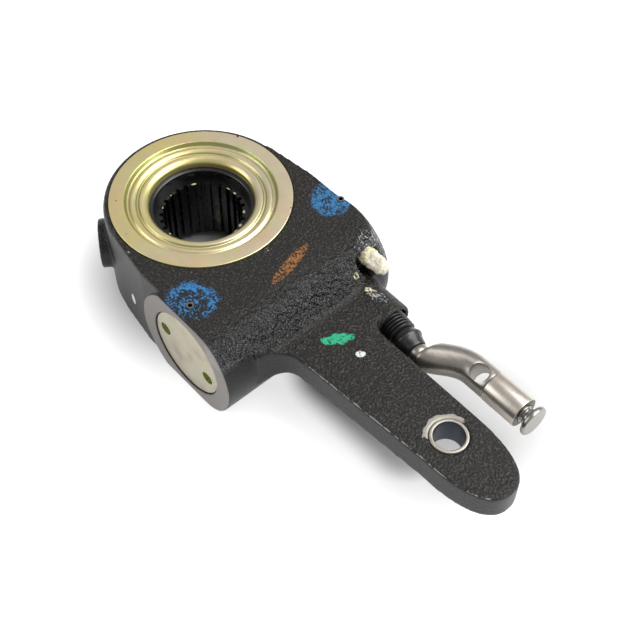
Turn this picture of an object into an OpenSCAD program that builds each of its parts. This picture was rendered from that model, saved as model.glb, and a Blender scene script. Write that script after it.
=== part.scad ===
// Self-adjusting brake slack adjuster: cast lever with a worm and worm gear inside its head.
// Origin: centre of the splined bore on the worm's mid-plane. +X along the arm, +Z along the bore.

/* [Casting] */
// Distance from the splined bore to the clevis pin
arm_length = 152.4; // [140:0.1:165]
// Outer radius of the round head
head_r = 42.6; // [42:0.1:48]
// Half of the casting's height at the head
body_half_h = 24; // [23:0.1:27]
// Radius of the worm boss across the arm
boss_r = 28.8; // [27:0.1:32]
// Half of the worm boss's length
boss_half_len = 47.7; // [46:0.1:52]
// Height of the arm's top face
arm_top_z = 11.8; // [9:0.1:14]
// Thickness of the arm
arm_thick = 13; // [11:0.1:15]
// Half width of the arm at the clevis pin
arm_half_w = 14.8; // [13:0.1:16]
// Half width of the arm at its root, on the end cap's side
arm_root_half_w = 19.4; // [17.5:0.1:20.5]
// Length of the rounded tip past the clevis pin
tip_len = 33.2; // [26:0.1:40]
// Rounding of the worm boss's end beside the rack
end_round = 10; // [6:0.1:11]
// Rounding between the casting's flat faces and the worm boss's front
crest_round = 14; // [8:0.1:16]
// Concave fillet between the boss and the arm's faces
root_fillet = 12; // [6:0.1:12.5]
// Rounding of the casting's outer edges
edge_round = 2.2; // [1:0.1:3]
// Radius of the cast pad on the side of the head
pad_r = 11; // [8:0.1:14]
// How far the cast pad stands out from the head
pad_rise = 4; // [2:0.1:6]
// Place of the cast pad around the head
pad_turn = -124; // [-150:1:-100]

/* [Splined bore and worm gear] */
// Distance from the splined bore to the worm's axis
worm_x = 47; // [46.6:0.1:47.6]
// Number of teeth on the worm gear
gear_teeth = 22; // [20:1:24]
// Module of the worm and its gear
gear_module = 3; // [2.9:0.05:3.1]
// Face width of the worm gear
gear_width = 18; // [14:0.1:20]
// Radius of the worm gear's hub, which is also its journal
hub_r = 27; // [25.5:0.1:27.5]
// Depth of the hub's top face below the casting's top
hub_depth = 6.8; // [6.5:0.1:7.6]
// Number of spline teeth
spline_teeth = 28; // [24:1:32]
// Major radius of the spline
spline_major_r = 19.05; // [18.5:0.05:19.5]
// Depth of the spline teeth
spline_depth = 1.45; // [1:0.05:1.8]
// Radius of the plain land above and below the spline
land_r = 21.2; // [20.6:0.1:22]
// Length of each plain land
land_len = 3.9; // [3:0.1:5]
// Axial play cut from the flanks of the worm gear's teeth
mesh_backlash = 1.4; // [1.2:0.05:1.8]

/* [Cover plate] */
// Outer radius of the pressed cover plate
plate_r = 40.1; // [39:0.1:40.5]
// Radius of the hole in the cover plate
plate_hole_r = 23.1; // [22.5:0.1:24.5]
// Thickness of the cover plate's sheet
plate_t = 1.6; // [1.2:0.1:2]
// Depth of the plate's dish at its hole
plate_dish = 4.2; // [3.6:0.1:4.4]
// How far the plate stands above the casting
plate_proud = 0.3; // [0:0.1:0.8]

/* [Worm and end cap] */
// Length of the worm's thread
thread_len = 30; // [26:0.1:32]
// Radius of the worm's journals and of the bore in the clutch pinion
journal_r = 6.6; // [6.5:0.05:7]
// Across flats of the adjusting hexagon
hex_af = 11.1; // [10:0.1:11.2]
// How far the hexagon stands out from the casting
hex_out = 5.8; // [4:0.1:8]
// Radius of the end cap
cap_r = 20.2; // [19.2:0.1:21]
// Thickness of the end cap's flange
cap_t = 4.6; // [3.5:0.1:5]
// Radius of each spanner hole in the end cap
spanner_hole_r = 3.1; // [2:0.1:3.4]
// Distance of each spanner hole from the cap's centre
spanner_hole_pos = 14; // [11:0.1:15.5]
// Turn of the spanner holes about the worm's axis
spanner_turn = 15; // [0:1:90]
// Radius of the lock pins
lock_pin_r = 1.6; // [1:0.1:2]

/* [Rack and clutch] */
// Number of teeth on the clutch pinion
pinion_teeth = 19; // [18:1:19]
// Module of the pinion and rack
rack_module = 1; // [0.95:0.01:1.05]
// Distance of the rack from the arm's centre line
rack_y = 27.5; // [27:0.1:28.5]
// Face width of the pinion and rack
rack_width = 7; // [6:0.1:8]
// Height of the rack's stem, its boss and the link
link_z = 3; // [2:0.1:4]
// Radius of the rack's stem
stem_r = 4.5; // [4:0.1:4.8]
// Distance from the splined bore to the rack's pin
rack_pin_x = 82; // [81:0.1:84]
// Outward travel of the rack
rack_out = 6; // [4:0.1:6]
// Inward travel of the rack
rack_in = 2; // [1:0.1:2]
// Outer radius of the rack's boss on the casting
rack_boss_r = 9.6; // [9:0.1:11]
// Distance from the splined bore to the mouth of the rack's boss
rack_boss_x = 94.8; // [93.5:0.1:97]

/* [Link] */
// Lean of the link's rod towards the arm
rod_lean = 7.6; // [6:0.1:7.8]
// Radius of the link's rod inside the boot
rod_r = 4; // [3.4:0.1:4.2]
// Distance from the rack pin to the end of the rod
rod_len = 33; // [31:0.1:35]
// Radius of the bent forged part of the link
forged_r = 6.7; // [6:0.1:7]
// Distance of the link's straight end from the arm's centre line
link_y = 34.7; // [33.5:0.1:36]
// Distance from the splined bore to the link's cross hole
link_hole_x = 138.2; // [138:0.1:141]
// Radius of the link's cross hole
link_hole_r = 4.1; // [3:0.05:4.2]
// Tilt of the link's cross hole towards the end cap's side
hole_tilt = 20; // [0:1:25]
// Length of the turned sleeve
sleeve_len = 17.5; // [16.5:0.1:22]
// Outer radius of the turned sleeve
sleeve_r = 6.9; // [6.4:0.1:7.2]
// Radius of the plunger's button head
button_r = 6.9; // [6:0.1:8]
// Thickness of the button head
button_t = 2.4; // [1.8:0.1:3.5]
// Travel of the plunger
plunger_travel = 3; // [2:0.1:3.2]

/* [Boot, bush and grease fitting] */
// Number of folds in the boot
boot_folds = 5; // [3:1:6]
// Radius of the boot over its folds
boot_r = 7; // [6.2:0.1:7.2]
// Inner radius of the clevis pin bush
bush_bore_r = 6.4; // [5:0.05:7]
// Wall of the clevis pin bush
bush_wall = 1.5; // [1:0.1:3]
// How far the bush stands above the arm
bush_proud = 0.5; // [0:0.1:1]
// Distance of the grease fitting from the arm's centre line
fitting_y = 36; // [34.5:0.1:37]
// Height of the grease fitting
fitting_z = 16.5; // [16:0.1:17.5]
// Length of the grease fitting outside its pocket
fitting_len = 13; // [10:0.1:15]
// Across flats of the grease fitting's hexagon
fitting_af = 8; // [7:0.1:9]

/* [Fits] */
// Radial clearance of each running fit
running_gap = 0.05; // [0.02:0.01:0.1]
// Clearance between pieces that only pass each other
free_gap = 0.3; // [0.2:0.05:0.5]

/* [Hidden] */
$fn = 64;
eps = 0.01;

// Worm and gear sizes that follow the module
gear_pitch_r = gear_module * gear_teeth / 2;
gear_tip_r = gear_pitch_r + 0.8 * gear_module;
gear_root_r = gear_pitch_r - 1.15 * gear_module;
worm_pitch_r = worm_x - gear_pitch_r;
worm_tip_r = worm_pitch_r + 0.75 * gear_module;
worm_root_r = worm_pitch_r - 1.1 * gear_module;
worm_pitch = PI * gear_module;
worm_lead_angle = atan(worm_pitch / (2 * PI * worm_pitch_r));
flank_angle = 20;

// Head chamber, its floor and the hub's journals
gear_room = 1.4;
chamber_r = gear_tip_r + gear_room;
chamber_floor = -gear_width / 2 - 1;
plate_top = body_half_h + plate_proud;
plate_seat = plate_top - plate_t;
plate_lip = plate_top - plate_dish - plate_t;
hub_top = body_half_h - hub_depth;
hub_inset = 2;
hub_bottom = -body_half_h + hub_inset;
hub_step_h = 2.2;
cover_seal_r = (plate_lip - hub_top) / 2 - free_gap / 3;
seal_r = 0.8;
seal_groove = 2 * seal_r + 0.8;
bearing_ring_h = 4;
bearing_ring_bottom = hub_top - bearing_ring_h - free_gap;
pad_root = 8;

// Worm stack along Y
worm_room = 2;
worm_bore_r = worm_tip_r + worm_room;
boss_face = -boss_half_len;
cap_inset = 0.6;
cap_face = boss_face + cap_inset;
cap_back = cap_face + cap_t;
cap_flange = 3.2;
spigot_r = cap_r - cap_flange;
seal_squeeze = 0.04;
cap_seal_r = (worm_bore_r - spigot_r) / 2 - seal_squeeze;
cap_pin_y = cap_back + free_gap + lock_pin_r;
spigot_len = 2 * (lock_pin_r + cap_seal_r + free_gap);
bearing_front = -sqrt(pow(gear_tip_r, 2) - pow(worm_x - worm_bore_r, 2)) - 2 * free_gap;
bearing_len = 4.6;
bearing_back = bearing_front - bearing_len;
journal_step = 2;
big_journal_r = worm_root_r - journal_step;
tail_len = 1.2;
worm_tail = bearing_back - tail_len;
washer_t = 1.6;
washer_front = worm_tail - free_gap;
spring_wire = 0.75;
spring_coil_r = big_journal_r + 2.5 * spring_wire;
spring_from = cap_back + spigot_len + free_gap + spring_wire;
spring_to = washer_front - washer_t - free_gap - spring_wire;
spring_pitch = 2.8 * spring_wire;
spring_turns = max(1, floor((spring_to - spring_from) / spring_pitch));
clutch_wire = 0.45;
clutch_grip = 0.3;
clutch_turns = 4;
thread_relief = 3;
shoulder_y = thread_len / 2 + thread_relief;

// Worm thread, wound in even steps so that a tooth gap faces the gear
thread_per_turn = 24;
thread_root = 0.6;
thread_sections = floor((thread_len - worm_pitch) / worm_pitch * thread_per_turn);
thread_run = thread_sections * worm_pitch / thread_per_turn;
thread_phase = 180 - 180 * thread_run / worm_pitch;

// Rack and pinion
pinion_pitch_r = rack_module * pinion_teeth / 2;
pinion_tip_r = pinion_pitch_r + 0.85 * rack_module;
pinion_root_r = pinion_pitch_r - 1.2 * rack_module;
pinion_from = rack_y - rack_width / 2;
pinion_to = rack_y + rack_width / 2;
tooth_room = 0.5;
pinion_room_r = pinion_tip_r + tooth_room;
rack_pitch = PI * rack_module;
rack_tip_z = pinion_pitch_r - 0.85 * rack_module;
rack_root_z = pinion_pitch_r + 1.2 * rack_module;
rack_bar_h = 4;
rack_top_z = rack_root_z + rack_bar_h;
web_from = worm_x + pinion_room_r + rack_in + free_gap;
web_t = 3.5;
rack_tail = 10;
rack_from = worm_x - rack_out - rack_tail;
rack_teeth_back = floor((worm_x - rack_from) / rack_pitch) - 1;
rack_tooth_gap = 0.25;
bush_step = 1.2;
bush_from = pinion_to + bush_step;
hex_bush_r = 12;
hex_bush_to = boss_half_len - bush_step;
oring_r = 1;

// Lock pins: their places across the boss and how deep each one reaches
cap_pin_x = worm_x - 3;
bush_pin_x = worm_x - 6;
bush_pin_y = hex_bush_to - lock_pin_r - free_gap;
bush_pin_depth = 3;
pin_proud = 0.1;
pin_wall = 0.6;

// Rack stem, its guide bush and the boss mouth
guide_wall = 2;
guide_r = stem_r + guide_wall;
guide_play = 1;
guide_from = web_from + web_t + rack_out + guide_play;
guide_len = 8;
boss_shift = 1.4;
boss_bore_y = rack_y - boss_shift;
mouth_wall = 2;
mouth_r = rack_boss_r - mouth_wall;
mouth_from = guide_from + guide_len - guide_play;
rack_boss_root = 8;
fork_slot = 4.2;
pin_r = 1.6;
eye_t = fork_slot - free_gap;
eye_step = 0.4;
eye_r = stem_r - eye_step;
fork_depth = eye_r + 2 * free_gap;
pin_inset = 0.6;

// Link path: the rod leans in, then the forged part bends out and runs along the arm
rod_dir = [cos(rod_lean), -sin(rod_lean)];
rod_end = [rack_pin_x, rack_y] + rod_len * rod_dir;
collar_len = 3.4;
collar_step = 0.7;
collar_r = rod_r + collar_step;
bend_len = 19;
turn_share = 3;
hole_wall = 1.6;
joint_x = link_hole_x + link_hole_r + hole_wall;
sleeve_wall = 1.2;
link_spigot_r = sleeve_r - sleeve_wall;
nose_r = 2.3;
nose_stop = 1;
nose_tip = link_hole_x + link_hole_r + nose_stop;
sleeve_end = joint_x + sleeve_len;
sleeve_lid = 2.2;
neck_step = 1.7;
neck_r = link_spigot_r - neck_step;
button_gap = plunger_travel + 2 * free_gap;
flange_back = sleeve_end - sleeve_lid - free_gap;
flange_t = 2;
return_wire = 0.4;
return_turns = 4;
return_gap = 0.2;
return_to = flange_back - flange_t - return_wire - return_gap;
return_from = return_to - 2.6 * return_wire * return_turns;
spigot_end = return_from - return_wire - return_gap;

// Boot along the leaning rod, measured from the rack pin
boot_tuck = 4;
boot_from = rack_boss_x - rack_pin_x - boot_tuck;
boot_to = rod_len - collar_len - 1;
boot_bore = rod_r + free_gap;
boot_wall = 0.7;
bulb_len = 8.5;

// Grease fitting: its seat on the boss's shoulder, its shank and its pocket
fitting_sink = 4;
fitting_seat = worm_x + sqrt(pow(boss_r, 2) - pow(fitting_z, 2)) - fitting_sink;
shank_r = 2.5;
shank_len = 5;
pocket_r = 0.78 * fitting_af;
pocket_shift = 1.5;

// Corners of the web: in front of the boss's back on the rack's side, behind it on the cap's side
web_corner = 4;
web_corner_back = 1.5;

// Arm outline: the rounding of its root, the scallop behind the rack boss's mouth and the tip's fullness
root_side = 13;
scallop_r = 8;
scallop_x = rack_boss_x - 3;
tip_power = 2.4;
tip_steps = 28;

// Point where a line from a corner touches the head's circle
function touch_point(corner, r, side) =
    let (a = atan2(corner[1], corner[0]) + side * acos(r / norm(corner)))
    r * [cos(a), sin(a)];

// Outline of the arm's rounded tip, from one side of the clevis pin to the other
function tip_points(steps) = [
    for (i = [0 : steps])
        let (a = 90 - 180 * i / steps)
        [arm_length + tip_len * pow(cos(a), 2 / tip_power),
         arm_half_w * sign(a) * pow(abs(sin(a)), 2 / tip_power)]
];

// Faces of a closed tube made of rings of n points each
function tube_faces(rings, n) = concat(
    [[for (j = [n - 1 : -1 : 0]) j]],
    [for (i = [0 : rings - 2], j = [0 : n - 1])
        [i * n + j, i * n + (j + 1) % n, (i + 1) * n + (j + 1) % n, (i + 1) * n + j]],
    [[for (j = [0 : n - 1]) (rings - 1) * n + j]]
);

// Points of one coil of wire about +Z
function coil_points(coil_r, wire_r, height, turns, per_turn, sides) = [
    for (i = [0 : turns * per_turn], j = [0 : sides - 1])
        let (a = 360 * i / per_turn, b = 360 * j / sides)
        [(coil_r + wire_r * cos(b)) * cos(a), (coil_r + wire_r * cos(b)) * sin(a),
         height * i / (turns * per_turn) + wire_r * sin(b)]
];

// Round bar along Y at the worm's axis
module worm_axis_bar(r, y0, y1) {
    translate([worm_x, y0, 0]) rotate([-90, 0, 0]) cylinder(r = r, h = y1 - y0);
}

// Round bar along X at any height
module along_x(r, x0, x1, y, z) {
    translate([x0, y, z]) rotate([0, 90, 0]) cylinder(r = r, h = x1 - x0);
}

// Coil spring about +Z
module coil(coil_r, wire_r, height, turns, per_turn, sides) {
    polyhedron(points = coil_points(coil_r, wire_r, height, turns, per_turn, sides),
               faces = tube_faces(turns * per_turn + 1, sides));
}

// Head with rounded rims, revolved
module head_solid() {
    rotate_extrude()
        union() {
            square([head_r - edge_round, body_half_h]);
            translate([0, -body_half_h]) square([head_r - edge_round, body_half_h]);
            translate([0, -body_half_h + edge_round])
                square([head_r, 2 * (body_half_h - edge_round)]);
            for (s = [-1, 1])
                translate([head_r - edge_round, s * (body_half_h - edge_round)])
                    circle(r = edge_round, $fn = 32);
        }
}

// Worm boss: a round bar across the arm, cut flat above and below, its end beside the rack rounded
module boss_solid() {
    difference() {
        intersection() {
            worm_axis_bar(boss_r, -boss_half_len, boss_half_len);
            translate([0, -boss_half_len - 1, -body_half_h])
                cube([worm_x + boss_r + 1, 2 * boss_half_len + 2, 2 * body_half_h]);
        }
        translate([worm_x, boss_half_len + 1, 0])
            rotate([90, 0, 0])
                linear_extrude(height = 2 * boss_half_len + 2)
                    for (up = [-1, 1])
                        crest_cut(up);
        translate([worm_x, boss_half_len, 0])
            rotate([90, 0, 0])
                rotate_extrude()
                    difference() {
                        translate([boss_r - end_round, -1]) square(end_round + 1);
                        translate([boss_r - end_round, end_round]) circle(r = end_round);
                    }
    }
}

// What a rounding takes off between the boss's front and a flat face, in a section square to the worm
module crest_cut(up) {
    centre_y = body_half_h - crest_round;
    centre_x = sqrt(max(0, pow(boss_r - crest_round, 2) - pow(centre_y, 2)));
    reach = 2 * boss_r / (boss_r - crest_round);
    difference() {
        polygon([[centre_x, up * centre_y], [centre_x, up * 2 * body_half_h],
                 reach * [centre_x, up * centre_y]]);
        translate([centre_x, up * centre_y]) circle(r = crest_round);
    }
}

// Web that runs from the head's sides to the worm boss
module web_solid() {
    corner = [worm_x - boss_r + web_corner, boss_half_len - edge_round];
    near = [worm_x - boss_r - web_corner_back, -corner[1]];
    low = touch_point(near, head_r, -1);
    high = touch_point(corner, head_r, 1);
    translate([0, 0, -body_half_h])
        linear_extrude(height = 2 * body_half_h)
            polygon([[0, 0], low, near, [worm_x, near[1]], [worm_x, corner[1]], corner, high]);
}

// Arm seen from above: rounded root, a scallop beside the rack's boss, and the tip
module arm_plan() {
    root = [worm_x + boss_r + root_side, -arm_root_half_w];
    root_centre = root - [0, root_side];
    scallop_centre = [scallop_x + scallop_r, arm_half_w + scallop_r];
    difference() {
        polygon(concat([[worm_x, root_centre[1]], [worm_x, boss_bore_y], [scallop_x, boss_bore_y],
                        [scallop_x, scallop_centre[1]], scallop_centre, [scallop_centre[0], arm_half_w]],
                       tip_points(tip_steps),
                       [root, root_centre]));
        translate(root_centre) circle(r = root_side);
        translate(scallop_centre) circle(r = scallop_r);
    }
}

// Arm with the fillets at its root
module arm_solid() {
    bottom = arm_top_z - arm_thick;
    translate([0, 0, bottom]) linear_extrude(height = arm_thick) arm_plan();
    intersection() {
        translate([0, 0, -body_half_h]) linear_extrude(height = 2 * body_half_h) arm_plan();
        union() {
            face_fillet(arm_top_z, 1);
            face_fillet(bottom, -1);
        }
    }
}

// Gusset with a concave face between the boss and one face of the arm
module face_fillet(face_z, up) {
    centre_z = face_z + up * root_fillet;
    centre_x = worm_x + sqrt(pow(boss_r + root_fillet, 2) - pow(centre_z, 2));
    touch = boss_r / (boss_r + root_fillet);
    wide = arm_root_half_w + root_side + boss_bore_y;
    translate([0, boss_bore_y, 0])
        rotate([90, 0, 0])
            linear_extrude(height = wide)
                difference() {
                    polygon([[worm_x, face_z - up],
                             [worm_x + (centre_x - worm_x) * touch, centre_z * touch],
                             [centre_x, centre_z], [centre_x, face_z - up]]);
                    translate([centre_x, centre_z]) circle(r = root_fillet);
                }
}

// Everything that is machined out of the casting
module housing_cuts() {
    // Worm gear chamber, plate seat and lower journal
    translate([0, 0, chamber_floor]) cylinder(r = chamber_r, h = 2 * body_half_h);
    translate([0, 0, plate_seat]) cylinder(r = plate_r + free_gap / 2, h = body_half_h);
    translate([0, 0, -body_half_h - 1]) cylinder(r = hub_r + running_gap, h = body_half_h);
    // Worm bore, cap seat, clutch room and hexagon bush
    worm_axis_bar(worm_bore_r, boss_face - 1, shoulder_y);
    worm_axis_bar(cap_r + running_gap, boss_face - 1, cap_back);
    worm_axis_bar(pinion_room_r, shoulder_y - eps, bush_from);
    worm_axis_bar(hex_bush_r, bush_from - eps, boss_half_len + 1);
    // Rack channel, stem guide and boss mouth
    translate([rack_from - rack_in - free_gap, pinion_from - free_gap, rack_tip_z - 1.5])
        cube([web_from + web_t + rack_out + rack_in - rack_from + 2 * free_gap,
              rack_width + 2 * free_gap, rack_top_z - rack_tip_z + 1.5 + free_gap]);
    along_x(stem_r + 1, worm_x, guide_from + eps, rack_y, link_z);
    along_x(guide_r, guide_from, guide_from + guide_len, rack_y, link_z);
    along_x(mouth_r, mouth_from, rack_boss_x + 1, boss_bore_y, link_z);
    // Lock pin holes
    lock_pin_bars(lock_pin_r, 0);
    // Pocket of the grease fitting
    along_x(pocket_r, fitting_seat, worm_x + boss_r + 1, fitting_y - pocket_shift, fitting_z);
    along_x(shank_r, fitting_seat - shank_len - 1, fitting_seat + 1, fitting_y, fitting_z);
    // Seat of the clevis pin bush
    translate([arm_length, 0, arm_top_z - arm_thick - 1])
        cylinder(r = bush_bore_r + bush_wall, h = arm_thick + 2);
}

// The two lock pins: one behind the cap's flange, one in the groove of the hexagon bush
module lock_pin_bars(r, past) {
    top = body_half_h + pin_proud + past;
    cap_pin_foot = spigot_r + free_gap - past;
    bush_pin_foot = hex_bush_r - bush_pin_depth - past;
    translate([cap_pin_x, cap_pin_y, cap_pin_foot]) cylinder(r = r, h = top - cap_pin_foot);
    translate([bush_pin_x, bush_pin_y, bush_pin_foot]) cylinder(r = r, h = top - bush_pin_foot);
}

module housing() {
    color("#1b1a19")
        difference() {
            union() {
                head_solid();
                boss_solid();
                web_solid();
                arm_solid();
                along_x(rack_boss_r, worm_x + rack_boss_root, rack_boss_x, boss_bore_y, link_z);
                rotate([0, 0, pad_turn])
                    along_x(pad_r, head_r - pad_root, head_r + pad_rise, 0, 0);
            }
            housing_cuts();
        }
}

// Pressed plate: flat rim, one step down, a bead, a groove and a rolled lip
module cover_plate() {
    span = plate_r - plate_hole_r;
    profile = [[1, 0], [0.6, 0], [0.535, -0.38], [0.5, -0.405], [0.418, -0.214], [0.306, -0.45],
               [0.27, -0.5], [0.224, -0.38], [0.112, -0.405], [0.018, -0.71], [0, -1]];
    top = [for (p = profile) [plate_hole_r + p[0] * span, plate_top + p[1] * plate_dish]];
    under = [for (i = [len(top) - 1 : -1 : 0]) top[i] - [0, plate_t]];
    color("#cfc08a")
        rotate_extrude($fn = 96) polygon(concat(top, under));
}

// Rubber ring under the plate's lip
module cover_seal() {
    color("#101010")
        translate([0, 0, (hub_top + plate_lip) / 2])
            rotate_extrude() translate([plate_hole_r + 1, 0]) circle(r = cover_seal_r, $fn = 24);
}

// Rubber ring in a groove below the lower journal
module bottom_seal() {
    color("#101010")
        translate([0, 0, hub_bottom - hub_inset + seal_r + free_gap])
            rotate_extrude() translate([hub_r - seal_r - 0.2, 0]) circle(r = seal_r, $fn = 24);
}

// Plain ring that carries the hub's upper journal
module bearing_ring() {
    color("#8d7a4a")
        translate([0, 0, bearing_ring_bottom])
            difference() {
                cylinder(r = chamber_r, h = bearing_ring_h);
                translate([0, 0, -1]) cylinder(r = hub_r + running_gap, h = bearing_ring_h + 2);
            }
}

// Gap between two teeth of the worm gear, as a prism tilted by the lead angle
module gear_gap() {
    half_pitch = worm_pitch / 4 + mesh_backlash / 4;
    depth = gear_tip_r - gear_pitch_r + 1;
    root = gear_pitch_r - gear_root_r;
    rotate([-worm_lead_angle, 0, 0])
        linear_extrude(height = 2 * gear_width, center = true)
            polygon([[gear_root_r, -half_pitch + root * tan(flank_angle)],
                     [gear_pitch_r + depth, -half_pitch - depth * tan(flank_angle)],
                     [gear_pitch_r + depth, half_pitch + depth * tan(flank_angle)],
                     [gear_root_r, half_pitch - root * tan(flank_angle)]]);
}

// One tooth gap of the internal spline, pointing along +X
module spline_gap() {
    wide = PI * spline_major_r / spline_teeth;
    polygon([[spline_major_r - spline_depth - 2, -wide * 0.62],
             [spline_major_r, -wide * 0.36],
             [spline_major_r, wide * 0.36],
             [spline_major_r - spline_depth - 2, wide * 0.62]]);
}

// Worm gear with its splined hub
module worm_gear() {
    color("#2a2a2b")
        difference() {
            union() {
                translate([0, 0, -gear_width / 2]) cylinder(r = gear_tip_r, h = gear_width);
                translate([0, 0, hub_bottom + hub_step_h])
                    cylinder(r = hub_r, h = hub_top - hub_bottom - hub_step_h);
                translate([0, 0, hub_bottom])
                    cylinder(r = hub_r - seal_groove, h = hub_top - hub_bottom);
            }
            for (i = [0 : gear_teeth - 1])
                rotate([0, 0, 360 * i / gear_teeth]) gear_gap();
            translate([0, 0, hub_top - land_len]) cylinder(r = land_r, h = land_len + 1);
            translate([0, 0, hub_bottom - 1]) cylinder(r = land_r, h = land_len + 1);
            translate([0, 0, hub_bottom])
                linear_extrude(height = hub_top - hub_bottom)
                    union() {
                        circle(r = spline_major_r - spline_depth);
                        for (i = [0 : spline_teeth - 1])
                            rotate(360 * i / spline_teeth) spline_gap();
                    }
        }
}

// Points of the worm's thread: four corners a section, wound about +Z
function thread_points(sections, per_turn) = [
    for (i = [0 : sections], j = [0 : 3])
        let (a = 360 * i / per_turn,
             z = -thread_run / 2 + worm_pitch * i / per_turn,
             deep = worm_root_r - thread_root,
             half = worm_pitch / 4 - mesh_backlash / 4,
             r = j == 0 || j == 3 ? deep : worm_tip_r,
             w = half - (r - worm_pitch_r) * tan(flank_angle),
             s = j < 2 ? -1 : 1)
        [r * cos(a + thread_phase), r * sin(a + thread_phase), z + s * w]
];

// Worm shaft: thread, journals and adjusting hexagon in one piece
module worm_shaft() {
    color("#8f9193")
        translate([worm_x, 0, 0])
            rotate([-90, 0, 0]) {
                polyhedron(points = thread_points(thread_sections, thread_per_turn),
                           faces = tube_faces(thread_sections + 1, 4));
                translate([0, 0, -thread_len / 2]) cylinder(r = worm_root_r, h = thread_len);
                translate([0, 0, worm_tail])
                    cylinder(r = big_journal_r, h = -worm_tail - thread_len / 2 + eps);
                translate([0, 0, thread_len / 2 - eps])
                    cylinder(r = journal_r, h = hex_bush_to - thread_len / 2 + eps);
                translate([0, 0, hex_bush_to - eps])
                    cylinder(d = hex_af / cos(30), h = boss_half_len + hex_out - hex_bush_to, $fn = 6);
            }
}

// Plain bearing for the worm's big journal
module worm_bearing() {
    color("#8d7a4a")
        difference() {
            worm_axis_bar(worm_bore_r, bearing_back, bearing_front);
            worm_axis_bar(big_journal_r + running_gap, bearing_back - 1, bearing_front + 1);
        }
}

// Hard washer between the spring and the end of the worm
module thrust_washer() {
    color("#b4b4b0")
        worm_axis_bar(worm_bore_r - worm_room, washer_front - washer_t, washer_front);
}

// Coil spring that preloads the worm
module thrust_spring() {
    color("#6f7173")
        translate([worm_x, spring_from, 0])
            rotate([-90, 0, 0])
                coil(spring_coil_r, spring_wire, spring_to - spring_from, spring_turns, 16, 8);
}

// End cap with two blind spanner holes
module end_cap() {
    color("#cfc9a4")
        difference() {
            union() {
                worm_axis_bar(cap_r, cap_face, cap_back);
                worm_axis_bar(spigot_r, cap_back - eps, cap_back + spigot_len);
            }
            for (s = [-1, 1])
                translate([worm_x, cap_face, 0])
                    rotate([-90, 0, 0])
                        rotate([0, 0, spanner_turn])
                            translate([s * spanner_hole_pos, 0, -1])
                                cylinder(r = spanner_hole_r, h = cap_t);
        }
}

// Rubber ring around the cap's spigot
module cap_oring() {
    color("#101010")
        translate([worm_x, cap_back + spigot_len - cap_seal_r, 0])
            rotate([-90, 0, 0])
                rotate_extrude()
                    translate([(spigot_r + worm_bore_r) / 2, 0]) circle(r = cap_seal_r, $fn = 24);
}

// Bush around the shaft behind the adjusting hexagon, with a groove for its lock pin
module hex_bush() {
    color("#8d7a4a")
        difference() {
            worm_axis_bar(hex_bush_r, bush_from, hex_bush_to);
            worm_axis_bar(journal_r + running_gap, bush_from - 1, hex_bush_to + 1);
            worm_axis_bar(journal_r + 2 * oring_r, bush_from - 1, bush_from + 2.4 * oring_r);
            translate([bush_pin_x, bush_pin_y, hex_bush_r - bush_pin_depth])
                cylinder(r = lock_pin_r + free_gap, h = 2 * bush_pin_depth);
        }
}

// Rubber ring on the shaft
module shaft_oring() {
    color("#101010")
        translate([worm_x, bush_from + 1.2 * oring_r, 0])
            rotate([-90, 0, 0])
                rotate_extrude()
                    translate([journal_r + oring_r, 0]) circle(r = oring_r - 2 * seal_squeeze, $fn = 24);
}

// Rolled lock pins, hollow
module lock_pins() {
    color("#c9c9c4")
        difference() {
            lock_pin_bars(lock_pin_r, 0);
            lock_pin_bars(lock_pin_r - pin_wall, 1);
        }
}

// Clutch pinion that turns on the worm shaft
module clutch_pinion() {
    color("#8f9193")
        translate([worm_x, pinion_from, 0])
            rotate([-90, 0, 0])
                difference() {
                    cylinder(r = pinion_tip_r, h = rack_width);
                    translate([0, 0, -1]) cylinder(r = journal_r + running_gap, h = rack_width + 2);
                    for (i = [0 : pinion_teeth - 1])
                        rotate([0, 0, 360 * i / pinion_teeth - 90])
                            translate([0, 0, -1])
                                linear_extrude(height = rack_width + 2) pinion_gap();
                }
}

// Gap between two pinion teeth, pointing along +X
module pinion_gap() {
    half = rack_pitch / 4 + rack_tooth_gap / 2;
    up = pinion_tip_r - pinion_pitch_r + free_gap;
    down = pinion_pitch_r - pinion_root_r;
    polygon([[pinion_root_r, -half + down * tan(flank_angle)],
             [pinion_pitch_r + up, -half - up * tan(flank_angle)],
             [pinion_pitch_r + up, half + up * tan(flank_angle)],
             [pinion_root_r, half - down * tan(flank_angle)]]);
}

// Fine wrap spring that grips the shaft in one direction
module clutch_spring() {
    from = shoulder_y + clutch_wire + clutch_grip;
    to = pinion_from - clutch_wire - clutch_grip;
    color("#6f7173")
        translate([worm_x, from, 0])
            rotate([-90, 0, 0])
                coil(journal_r + clutch_wire + clutch_grip, clutch_wire, to - from, clutch_turns, 14, 6);
}

// Rack: toothed bar above the pinion, a web down to its round stem, and a fork for the link
module rack() {
    color("#8f9193")
        difference() {
            union() {
                translate([rack_from, pinion_from, rack_root_z])
                    cube([web_from + web_t - rack_from, rack_width, rack_top_z - rack_root_z]);
                for (i = [0 : floor((web_from - rack_from) / rack_pitch) - 2])
                    rack_tooth(worm_x + (i - rack_teeth_back) * rack_pitch);
                translate([web_from, pinion_from, link_z - stem_r + 1])
                    cube([web_t, rack_width, rack_top_z - link_z + stem_r - 1]);
                along_x(stem_r, web_from + web_t - eps, rack_pin_x + stem_r, rack_y, link_z);
            }
            translate([rack_pin_x - fork_depth, rack_y - stem_r - 1, link_z - fork_slot / 2])
                cube([fork_depth + stem_r + 1, 2 * stem_r + 2, fork_slot]);
            translate([rack_pin_x, rack_y, link_z - stem_r - 1])
                cylinder(r = pin_r, h = 2 * stem_r + 2);
        }
}

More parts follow.
